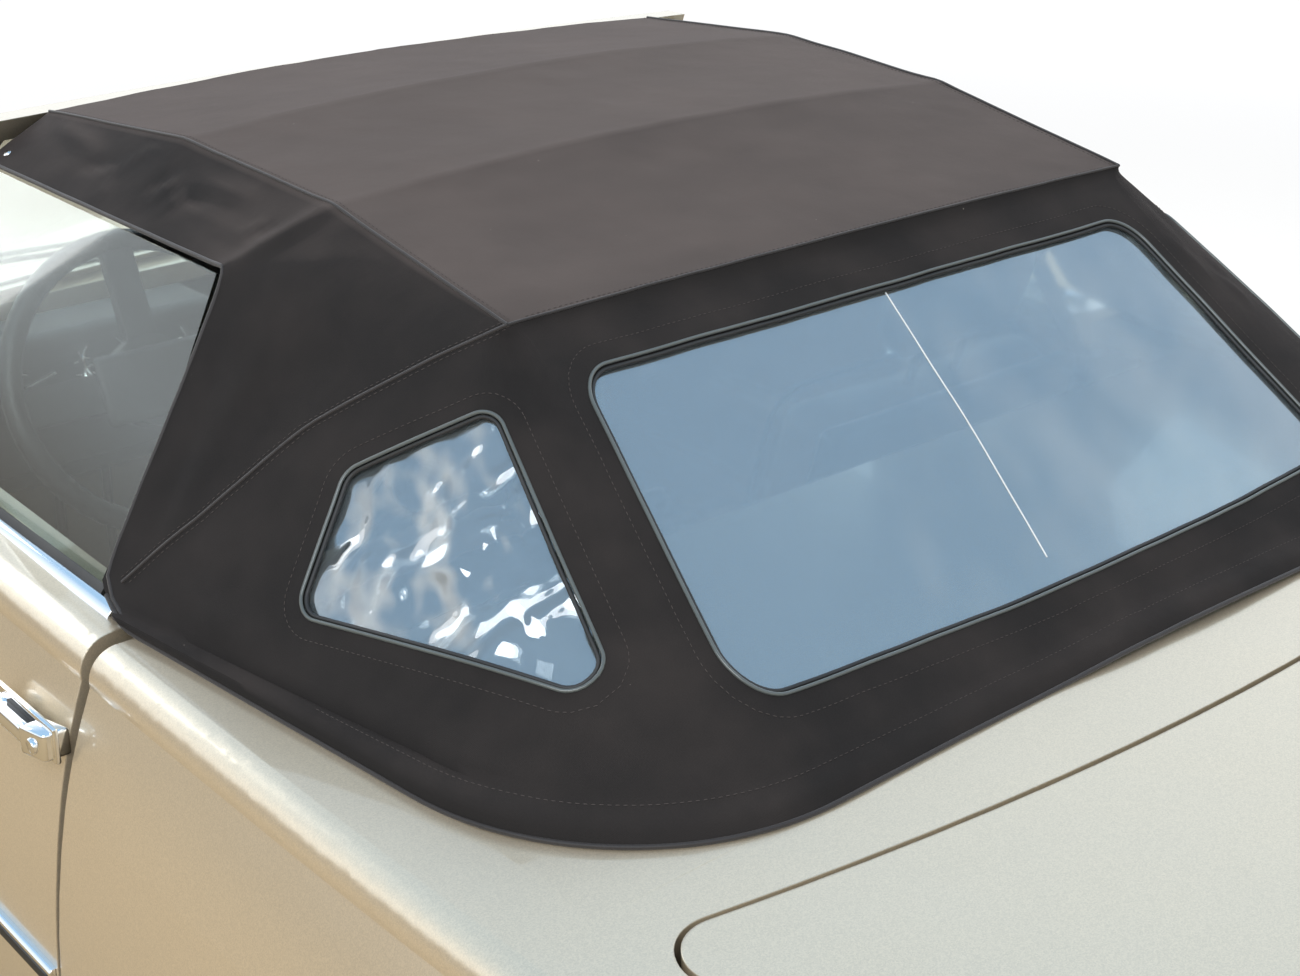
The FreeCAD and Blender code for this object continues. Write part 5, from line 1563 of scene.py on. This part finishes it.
class CONVERTIBLE_OT_doors(bpy.types.Operator):
    """Models the belt mouldings, handles, rubbing strips, mirrors and window rubbers of the doors"""

    bl_idname = "convertible.doors"
    bl_label = "Door fittings"

    def execute(self, context):
        bright = joined("door_bright_left", [*self.make_trims(), *self.make_handle(), *self.make_mirror()])
        dark = joined("door_rubber_left", self.make_rubbers())
        glass = self.make_mirror_glass()
        for obj, finish in ((bright, "chrome"), (dark, "rubber"), (glass, "mirror")):
            replaces = "door_fittings_" if obj == bright else None
            paired(smooth(obj, 40), finish, "door_", replaces)
        return {"FINISHED"}

    def make_trims(self):
        low, high = BELT_ENDS
        belt = moulding("belt", low, high - low, (
            (0.7625, 0.8990), (0.7780, 0.8990), (0.7806, 0.9015), (0.7806, 0.9045), (0.7770, 0.9120),
            (0.7725, 0.9178), (0.7690, 0.9200), (0.7650, 0.9200), (0.7625, 0.9180),
        ))
        strip = moulding("strip", -0.681, 1.117, (
            (0.884, 0.540), (0.8980, 0.540), (0.9015, 0.5435), (0.9015, 0.5625), (0.8980, 0.566),
            (0.884, 0.566),
        ))
        return [modify(piece, "BEVEL", width=0.0009, segments=2, limit_method="ANGLE")
                for piece in (belt, strip)]

    def make_handle(self):
        """A pull lever on two feet: its wedge end has a round lock."""
        lever = moulding("lever", 0.312, 0.094, (
            (0.868, 0.8050), (0.8775, 0.8035), (0.8825, 0.8075), (0.8835, 0.8150), (0.8815, 0.8225),
            (0.8760, 0.8262), (0.868, 0.8250),
        ), 4)
        wedge = block("wedge", (0.8560, 0.398, 0.7990), (0.8845, 0.434, 0.8300), 0.0035, 3)
        for vertex in wedge.data.vertices:
            back = (vertex.co.y - 0.398) / 0.036
            vertex.co.x -= 0.010 * back ** 2
        lock = disc("lock", (0.8800, 0.4180, 0.8140), (1, 0, -0.1), 0.0085, 0.0060, 0.0010, 32)
        slot = block("lock_slot", (0.8822, 0.4172, 0.8095), (0.8834, 0.4186, 0.8185), 0.0003, 1)
        nose = block("nose", (0.8560, 0.314, 0.8040), (0.8740, 0.340, 0.8260), 0.0040, 3)
        plate = block("plate", (0.8600, 0.3080, 0.7950), (0.8665, 0.4380, 0.8350), 0.0022, 2)
        modify(lever, "BEVEL", width=0.0020, segments=3, limit_method="ANGLE")
        return [lever, wedge, lock, slot, nose, plate]

    def make_mirror(self):
        foot = block("mirror_foot", (0.772, -0.556, 0.905), (0.846, -0.522, 0.985), 0.010, 4)
        head = block("mirror_head", (0.792, -0.556, 0.962), (0.963, -0.503, 1.076), 0.022, 6)
        for vertex in head.data.vertices:
            bulge = 1 - ((vertex.co.x - 0.878) / 0.09) ** 2
            if vertex.co.y < -0.53:
                vertex.co.y += 0.010 * (1 - bulge)
        return [foot, head]

    def make_mirror_glass(self):
        return block("mirror_glass_left", (0.801, -0.5045, 0.971), (0.954, -0.5015, 1.067), 0.0012, 2)

    def make_rubbers(self):
        low, high = WIPER_ENDS
        wiper = moulding("window_wiper", low, high - low, (
            (0.7585, 0.9150), (0.7640, 0.9150), (0.7650, 0.9200), (0.7615, 0.9245), (0.7580, 0.9270),
            (0.7570, 0.9220),
        ))
        insert = moulding("strip_insert", -0.676, 1.107, (
            (0.900, 0.5465), (0.9030, 0.5475), (0.9042, 0.5530), (0.9030, 0.5585), (0.900, 0.5595),
        ))
        pad = block("handle_pad", (0.8660, 0.3400, 0.8005), (0.8700, 0.3980, 0.8295), 0.0015, 2)
        return [wiper, insert, pad]


def outer_skin(node, name, keep):
    """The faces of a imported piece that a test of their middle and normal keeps, as an open skin."""
    copy = NODES[node].copy()
    copy.data = NODES[node].data.copy()
    copy.name = copy.data.name = name
    copy.parent = None
    for key in list(copy.keys()):
        if key.startswith("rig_"):
            del copy[key]
    bpy.context.scene.collection.objects.link(copy)
    take(copy)
    in_edit(copy, lambda: bpy.ops.mesh.remove_doubles(threshold=1e-5))
    select_faces(copy, lambda middle, normal: not keep(middle, normal))
    bpy.ops.mesh.delete(type="FACE")
    leave_edit()
    return copy


# Headlamp reflectors: their place along the car and height, and the turn from the X axis to face ahead
LAMP_PLACE, FORWARDS = (-2.112, 0.607), Matrix.Rotation(math.pi / 2, 4, "Z")


class CONVERTIBLE_OT_lamps(bpy.types.Operator):
    """Models the headlamps' lenses, cases, reflectors and bulbs, the radiator core and the number plate"""

    bl_idname = "convertible.lamps"
    bl_label = "Lamps"

    def execute(self, context):
        low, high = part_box("headlamps")
        inner, near = 0.392, 0.0015

        def on_skin(middle, normal):
            across, up = abs(middle.x), middle.z
            edges = ((across, inner), (across, high.x), (up, low.z), (up, high.z))
            return all(abs(place - edge) > near for place, edge in edges) and middle.y < high.y - near

        case = outer_skin("headlamps", "headlamp_cases", lambda m, n: not on_skin(m, n))
        lens = outer_skin("headlamps", "headlamp_lenses", on_skin)
        modify(lens, "SOLIDIFY", thickness=0.003, offset=-1)
        finished(smooth(lens), "lamp", replaces=["headlamps"])
        modify(case, "SOLIDIFY", thickness=0.0015, offset=-1)
        finished(case, "black_steel")
        bowls, bulbs, radius = [], [], 0.076
        for side in (1, -1):
            for x in (0.492, 0.652):
                bowl = revolved("bowl", [(depth, radius * share) for depth, share in (
                    (0.0, 1), (0.012, 0.93), (0.026, 0.76), (0.036, 0.5), (0.041, 0.2),
                    (0.042, 0.0002 / radius), (0.045, 0.0002 / radius), (0.044, 0.2), (0.039, 0.52),
                    (0.028, 0.8), (0.014, 0.98), (0.0, 1.04),
                )], (0, 0, 0), 48)
                bulb = revolved("bulb", [
                    (0.008, 0.0002), (0.0085, 0.010), (0.014, 0.014), (0.026, 0.014), (0.040, 0.008),
                    (0.040, 0.0002),
                ], (0, 0, 0), 24)
                where = Matrix.Translation((side * x, *LAMP_PLACE)) @ FORWARDS
                bowls.append(placed(bowl, where))
                bulbs.append(placed(bulb, where))
        finished(smooth(joined("headlamp_bowls", bowls)), "chrome")
        finished(smooth(joined("headlamp_bulbs", bulbs)), "dark_plastic")
        core = block("radiator_core", (-0.335, -2.095, 0.475), (0.335, -2.066, 0.695), 0.004, 2)
        finished(core, "fins")
        plate = block("rear_plate", (-0.255, 2.1515, 0.602), (0.255, 2.1555, 0.710), 0.0016, 2)
        finished(smooth(plate), "plate")
        return {"FINISHED"}


class CONVERTIBLE_OT_outside(bpy.types.Operator):
    """Models the bumpers' rubbers, the windscreen's rubber and the wipers"""

    bl_idname = "convertible.outside"
    bl_label = "Outside trim"

    def execute(self, context):
        rubbers = []
        face, half, corner, level = 2.1955, 0.8835, 0.150, 0.462
        for end in (-1, 1):
            path = [(half, 1.86, level), (half, face - corner - 0.04, level)]
            for step in range(9):
                turn = math.pi / 2 * step / 8
                in_x, in_y = corner * (1 - math.cos(turn)), corner * (1 - math.sin(turn))
                path.append((half - in_x, face - in_y, level))
            left = [Vector((x, end * y, z)) for x, y, z in path]
            strip = tube("bumper_rubber", left + mirrored(reversed(left)), 0.012)
            for vertex in strip.data.vertices:
                vertex.co.z = level + (vertex.co.z - level) * 1.5
            rubbers.append(strip)
        finished(joined("bumper_rubbers", rubbers), "rubber")
        self.make_screen_rubber()
        self.make_wipers()
        return {"FINISHED"}

    def make_screen_rubber(self):
        points = [vertex.co for vertex in NODES["windscreen_glass"].data.vertices]
        low = min(points, key=lambda p: p.z - abs(p.x) * 0.3 + (p.x < 0))
        high = max(points, key=lambda p: p.z + abs(p.x) * 0.3 - (p.x < 0))
        low_mid = min(points, key=lambda p: p.z * 2 + abs(p.x))
        high_mid = max(points, key=lambda p: p.z * 2 - abs(p.x))
        lines = []
        for a, mid in ((low, low_mid), (high, high_mid)):
            line = []
            for share in range(-12, 13):
                t = share / 12
                y, z = (low + (high - low) * t * t for low, high in ((mid.y, a.y), (mid.z, a.z)))
                line.append(Vector((a.x * t, y, z)))
            lines.append(line)
        for a, b in ((low, high), mirrored((low, high))):
            lines.append([a.lerp(b, t / 6) for t in range(7)])
        pieces = [tube("screen_rubber", line, 0.0055) for line in lines]
        finished(joined("windscreen_rubber", pieces), "rubber")

    def make_wipers(self):
        pieces = []
        for x in (-0.50, 0.08):
            foot = Vector((x, -0.700, 0.925))
            tip = Vector((x + 0.44, -0.655, 0.962))
            pieces.append(disc("wiper_boss", foot, (0, -0.3, 1), 0.014, 0.022, 0.003, 24))
            arm = [foot.lerp(tip, share) + Vector((0, back, up)) for share, back, up in (
                (0, 0, 0.008), (0.4, -0.02, 0.010), (0.75, -0.012, 0.006),
            )]
            pieces.append(tube("wiper_arm", arm, 0.0038))
            blade = [foot.lerp(tip, t) + Vector((0, -0.008, -0.002)) for t in (0.45, 0.6, 0.8, 1.0)]
            pieces.append(tube("wiper_blade", blade, 0.0042))
        finished(smooth(joined("wipers", pieces)), "dark_plastic")


SEAT_X, SEAT_HALF = 0.370, 0.250
LEAN = Matrix.Translation((SEAT_X, 0.305, 0.395)) @ Matrix.Rotation(math.radians(-16), 4, "X")
STEERING = Vector((0.370, -0.285, 0.868))
COLUMN = Vector((0, 0.906308, 0.422618))
# A stuffed pad: how far it may swell, its mesh, its filling, its inner pressure and the frames it gets
PAD_SWELL, PAD_CELL, PAD_FILL, PAD_PRESSURE, PAD_FRAMES = 0.014, 0.009, 0.7, 4, 20
# Its sewn channels: width, depth and half width of a seam, plain border, and the hollow of the middle
CHANNEL, SEAM_DEPTH, SEAM_HALF, BORDER, HOLLOW = 0.066, 0.0055, 0.006, 0.035, 0.010


def stuffed(name, low, high, bevel, face):
    """A pad swollen by cloth simulation, with sewn channels on the side that faces a direction."""
    pad = block(name, low, high, bevel, 4)
    modify(pad, "REMESH", mode="VOXEL", voxel_size=PAD_CELL)
    take(pad)
    cloth = pad.modifiers.new("Cloth", "CLOTH")
    cloth.settings.use_pressure = True
    cloth.settings.uniform_pressure_force = PAD_PRESSURE
    cloth.settings.effector_weights.gravity = 0
    cloth.point_cache.frame_start, cloth.point_cache.frame_end = 1, PAD_FRAMES
    for number in range(1, PAD_FRAMES + 1):
        bpy.context.scene.frame_set(number)
    swollen = pad.evaluated_get(bpy.context.evaluated_depsgraph_get()).data
    moves = [after.co - before.co for after, before in zip(swollen.vertices, pad.data.vertices)]
    pad.modifiers.remove(cloth)
    bpy.context.scene.frame_set(1)
    for vertex, move in zip(pad.data.vertices, moves):
        vertex.co += move.normalized() * min(move.length, PAD_SWELL) * 0.8
    modify(pad, "SUBSURF", levels=1, render_levels=1)
    sew_channels(pad, Vector(face), low, high)
    return smooth(pad, 60)


def sew_channels(pad, face, low, high):
    """Presses straight seams into the pad's face, with a wider hollow along its middle."""
    middle = (Vector(low) + Vector(high)) / 2
    half = (high[0] - low[0]) / 2 - BORDER
    normals = [vertex.normal.copy() for vertex in pad.data.vertices]
    for vertex, normal in zip(pad.data.vertices, normals):
        turned = max(0.0, normal.dot(face))
        across = vertex.co.x - middle.x
        if abs(across) < half:
            seam = abs((across / CHANNEL + 0.5) % 1 - 0.5) * CHANNEL
            press = SEAM_DEPTH * math.exp(-(seam / SEAM_HALF) ** 2)
            press += HOLLOW * math.cos(math.pi / 2 * min(1.0, abs(across) / half))
            vertex.co -= face * press * turned


class CONVERTIBLE_OT_seats(bpy.types.Operator):
    """Models the two seats with stuffed cushions, backs and head restraints"""

    bl_idname = "convertible.seats"
    bl_label = "Seats"

    def execute(self, context):
        half = SEAT_HALF - 0.012
        low, high = (SEAT_X - half, -0.178, 0.360), (SEAT_X + half, 0.262, 0.456)
        cushion = stuffed("seat_cushion_left", low, high, 0.036, (0, 0, 1))
        low, high = (-half, -0.055, 0.050), (half, 0.040, 0.548)
        back = placed(stuffed("seat_back_left", low, high, 0.040, (0, -1, 0)), LEAN)
        low, high = (-0.118, -0.034, 0.597), (0.118, 0.034, 0.733)
        head = placed(stuffed("head_restraint_left", low, high, 0.030, (0, -1, 0)), LEAN)
        shell = joined("seat_frame_left", self.make_frame())
        welts = joined("seat_welts_left", self.make_welts(half))
        for pad in (cushion, back, head):
            paired(pad, "leather", replaces="seat_")
        paired(shell, "dark_plastic", replaces="seat_")
        paired(welts, "seat_welt", replaces="seat_")
        return {"FINISHED"}

    def make_frame(self):
        x, half = SEAT_X, SEAT_HALF
        low, high = (x - half + 0.01, -0.170, 0.331), (x + half - 0.01, 0.290, 0.368)
        base = block("seat_base", low, high, 0.012, 3)
        shell = block("back_shell", (-half + 0.008, 0.030, 0.02), (half - 0.008, 0.060, 0.545), 0.014, 4)
        pieces = [base, placed(shell, LEAN)]
        for rail in (x - half + 0.075, x + half - 0.075):
            low, high = (rail - 0.015, -0.168, 0.2255), (rail + 0.015, 0.278, 0.334)
            pieces.append(block("runner", low, high, 0.004, 2))
        for post in (-0.045, 0.045):
            rod = disc("post", (post, 0, 0.575), (0, 0, 1), 0.006, 0.07, 0.001, 20)
            pieces.append(placed(rod, LEAN))
        spot = (x + half - 0.004, 0.290, 0.400)
        pieces.append(disc("recliner", spot, (1, 0, 0), 0.028, 0.014, 0.004, 32))
        return [smooth(piece, 40) for piece in pieces]

    def make_welts(self, half):
        x = SEAT_X
        ring = rounded_ring([
            (x - half, -0.178, 0.452), (x + half, -0.178, 0.452), (x + half, 0.262, 0.452),
            (x - half, 0.262, 0.452),
        ], 0.045)
        front = rounded_ring([
            (-half, -0.049, 0.052), (half, -0.049, 0.052), (half, -0.049, 0.546), (-half, -0.049, 0.546),
        ], 0.050)
        front = [LEAN @ point for point in front]
        return [tube("welt", line, 0.0038, closed=True) for line in (ring, front)]


class CONVERTIBLE_OT_cabin(bpy.types.Operator):
    """Models the dashboard's instruments, steering wheel pad, levers, pedals, door cards and carpets"""

    bl_idname = "convertible.cabin"
    bl_label = "Cabin"

    def execute(self, context):
        self.make_instruments()
        self.make_wheel_pad()
        self.make_controls()
        self.make_door_cards()
        self.make_carpets()
        self.make_boot_mat()
        return {"FINISHED"}

    def make_instruments(self):
        """Three dials in the hood, air vents, a control panel and the lid of the glove box."""
        face, slope = -0.449, Vector((0, 1, 0.28)).normalized()
        dials, marks, rims, panels = [], [], [], []
        for x, z, radius in ((0.290, 0.862, 0.046), (0.370, 0.868, 0.030), (0.450, 0.862, 0.046)):
            spot = Vector((x, face + 0.019, z - 0.008))
            turn = Matrix.Translation(spot) @ facing(slope)
            dials.append(placed(disc("dial", (0, 0, 0), (0, 0, 1), radius, 0.004, 0.0, 40), turn))
            rims.append(placed(placed(revolved("rim", [
                (0.0, radius), (0.005, radius + 0.001), (0.006, radius + 0.003), (0.0, radius + 0.005),
            ], (0, 0, 0), 40), Matrix.Rotation(-math.pi / 2, 4, "Y")), turn))
            for number in range(11):
                angle = math.radians(-130 + 26 * number)
                tick = block("tick", (-0.0007, radius * 0.78, 0.002), (0.0007, radius * 0.93, 0.0028))
                marks.append(placed(tick, turn @ Matrix.Rotation(angle, 4, "Z")))
            needle = block("needle", (-0.0010, -0.006, 0.003), (0.0010, radius * 0.80, 0.0042))
            marks.append(placed(needle, turn @ Matrix.Rotation(math.radians(105), 4, "Z")))
        for x in (-0.620, -0.060, 0.060, 0.620):
            for level in range(4):
                z = 0.812 + 0.012 * level
                low, high = (x - 0.045, -0.476, z), (x + 0.045, -0.462, z + 0.0045)
                panels.append(block("vane", low, high, 0.001, 1))
            low, high = (x - 0.052, -0.474, 0.803), (x + 0.052, -0.470, 0.857)
            rims.append(smooth(block("vent", low, high, 0.003, 2)))
        panels.append(block("radio", (-0.090, -0.486, 0.735), (0.090, -0.474, 0.785), 0.004, 2))
        for x in (-0.070, 0.070):
            rims.append(disc("knob", (x, -0.468, 0.760), (0, 1, -0.15), 0.012, 0.018, 0.002, 24))
        for number in range(5):
            x = -0.036 + 0.018 * number
            low, high = (x - 0.007, -0.476, 0.745), (x + 0.007, -0.469, 0.753)
            panels.append(block("button", low, high, 0.0015, 2))
        panels.append(block("glove_lid", (-0.560, -0.484, 0.705), (-0.200, -0.472, 0.790), 0.006, 3))
        finished(smooth(joined("dials", dials)), "dial")
        finished(joined("dial_marks", marks), "marks")
        finished(smooth(joined("dash_bright", rims)), "chrome")
        finished(smooth(joined("dash_panels", panels)), "dark_plastic")

    def make_wheel_pad(self):
        turn = Matrix.Translation(STEERING) @ facing(COLUMN)
        pad = placed(block("wheel_pad", (-0.082, -0.050, 0.006), (0.082, 0.046, 0.024), 0.009, 4), turn)
        finished(smooth(pad), "plastic", "steering_wheel")
        thick, wide, lumps, lump_height = 0.0155, 0.195, 44, 0.0006
        section = [(thick * math.sin(a), wide + thick * math.cos(a))
                   for a in (math.pi * t / 8 for t in range(16))]
        grip = revolved("wheel_grip", section, (0, 0, 0), 96)
        placed(placed(grip, Matrix.Rotation(math.pi / 2, 4, "Y")), turn)
        for vertex in grip.data.vertices:
            local = turn.inverted() @ vertex.co
            lump = math.cos(math.atan2(local.y, local.x) * lumps)
            radial = Vector((local.x, local.y, 0)).normalized()
            vertex.co = turn @ (local - radial * lump_height * lump)
        finished(smooth(grip, 60), "dark_leather", "steering_wheel")

    def make_controls(self):
        """Gear lever, parking brake, stalks and pedals."""
        gate = block("gate", (-0.055, -0.270, 0.549), (0.055, -0.130, 0.556), 0.003, 2)
        knob = block("gear_knob", (-0.020, -0.215, 0.612), (0.020, -0.170, 0.655), 0.016, 4)
        lever, brake, stalk = (tube(name, points, radius) for name, points, radius in (
            ("gear_lever", [(0, -0.205, 0.552), (0, -0.200, 0.590), (0, -0.192, 0.625)], 0.007),
            ("brake_lever", [(0.055, 0.150, 0.553), (0.055, 0.060, 0.572), (0.055, 0.0, 0.588)], 0.011),
            ("stalk", [(0.37, -0.312, 0.852), (0.30, -0.318, 0.862), (0.235, -0.312, 0.872)], 0.0055),
        ))
        pedals = []
        for x, width in ((0.290, 0.050), (0.370, 0.055), (0.460, 0.045)):
            low, high = (x - width / 2, -0.640, 0.300), (x + width / 2, -0.628, 0.365)
            pedals.append(block("pedal", low, high, 0.004, 2))
            arm = [(x, -0.636, 0.340), (x, -0.655, 0.450), (x, -0.640, 0.640)]
            pedals.append(tube("pedal_arm", arm, 0.007))
        pieces = [gate, lever, knob, brake, stalk, *pedals]
        finished(smooth(joined("controls", pieces), 50), "dark_plastic")

    def make_door_cards(self):
        """Trim panel, arm rest and pull of each door."""
        card = block("card", (0.7195, -0.660, 0.300), (0.7245, 0.405, 0.880), 0.003, 2)
        rest = block("arm_rest", (0.672, -0.330, 0.560), (0.722, 0.160, 0.612), 0.016, 4)
        box = block("map_box", (0.690, -0.520, 0.320), (0.722, 0.080, 0.440), 0.012, 3)
        card = smooth(joined("door_card_left", [card, rest, box]), 40)
        pull = tube("door_pull_left", [
            (0.722, 0.060, 0.760), (0.700, 0.065, 0.762), (0.698, 0.110, 0.762), (0.722, 0.120, 0.760),
        ], 0.0055)
        paired(card, "leather", "door_")
        paired(pull, "chrome", "door_")

    def make_carpets(self):
        left = joined("carpets", [block("carpet", low, high, 0.002, 1) for low, high in (
            ((0.116, -0.672, 0.2256), (0.636, 0.555, 0.2336)),
            ((0.113, -0.672, 0.2256), (0.119, 0.555, 0.424)),
            ((-0.119, -0.672, 0.4205), (0.119, -0.445, 0.4260)),
            ((-0.119, 0.325, 0.4205), (0.119, 0.555, 0.4260)),
            ((0.120, 0.548, 0.235), (0.690, 0.5585, 0.855)),
        )])
        right = flipped(left, "carpets_right")
        finished(joined("carpets", [left, right]), "carpet")

    def make_boot_mat(self):
        """A mat that follows the boot's floor and the step over the axle."""
        floor = surface_of("rear_floor", "axle_tub")

        def place(column, row):
            x, y = between(-0.560, 0.560, column / 40), between(1.104, 2.040, row / 90)
            spot = floor.ray_cast(Vector((x, y, 0.80)), Vector((0, 0, -1)))[0]
            return spot + Vector((0, 0, 0.0006)), (x, y)

        mat = modify(cloth_grid("boot_mat", 40, 90, place), "SOLIDIFY", thickness=0.005, offset=1)
        finished(smooth(mat, 60), "carpet")


PROPERTY_GROUPS = (StageSettings, FinishSettings, RoofSettings)


class ConvertibleSettings(bpy.types.PropertyGroup):
    """Everything that a user would change."""

    stage: PointerProperty(type=StageSettings)
    finishes: PointerProperty(type=FinishSettings)
    roof: PointerProperty(type=RoofSettings)


OPERATORS = (
    CONVERTIBLE_OT_stage, CONVERTIBLE_OT_finishes, CONVERTIBLE_OT_roof, CONVERTIBLE_OT_windows,
    CONVERTIBLE_OT_doors, CONVERTIBLE_OT_wheels, CONVERTIBLE_OT_lamps, CONVERTIBLE_OT_outside,
    CONVERTIBLE_OT_seats, CONVERTIBLE_OT_cabin,
)


class CONVERTIBLE_PT_panel(bpy.types.Panel):
    """Lists the car's groups of pieces in the order in which they are made"""

    bl_label = "Convertible"
    bl_space_type = "VIEW_3D"
    bl_region_type = "UI"
    bl_category = "Convertible"

    def draw(self, context):
        for operator in OPERATORS:
            self.layout.operator(operator.bl_idname)


CLASSES = (*PROPERTY_GROUPS, ConvertibleSettings, *OPERATORS, CONVERTIBLE_PT_panel)


def register():
    for made in CLASSES:
        bpy.utils.register_class(made)
    bpy.types.Scene.convertible = PointerProperty(type=ConvertibleSettings)


def unregister():
    del bpy.types.Scene.convertible
    for made in reversed(CLASSES):
        bpy.utils.unregister_class(made)


def main():
    register()
    for operator in OPERATORS:
        group_name, action = operator.bl_idname.split(".")
        getattr(getattr(bpy.ops, group_name), action)()


if __name__ == "__main__":
    main()
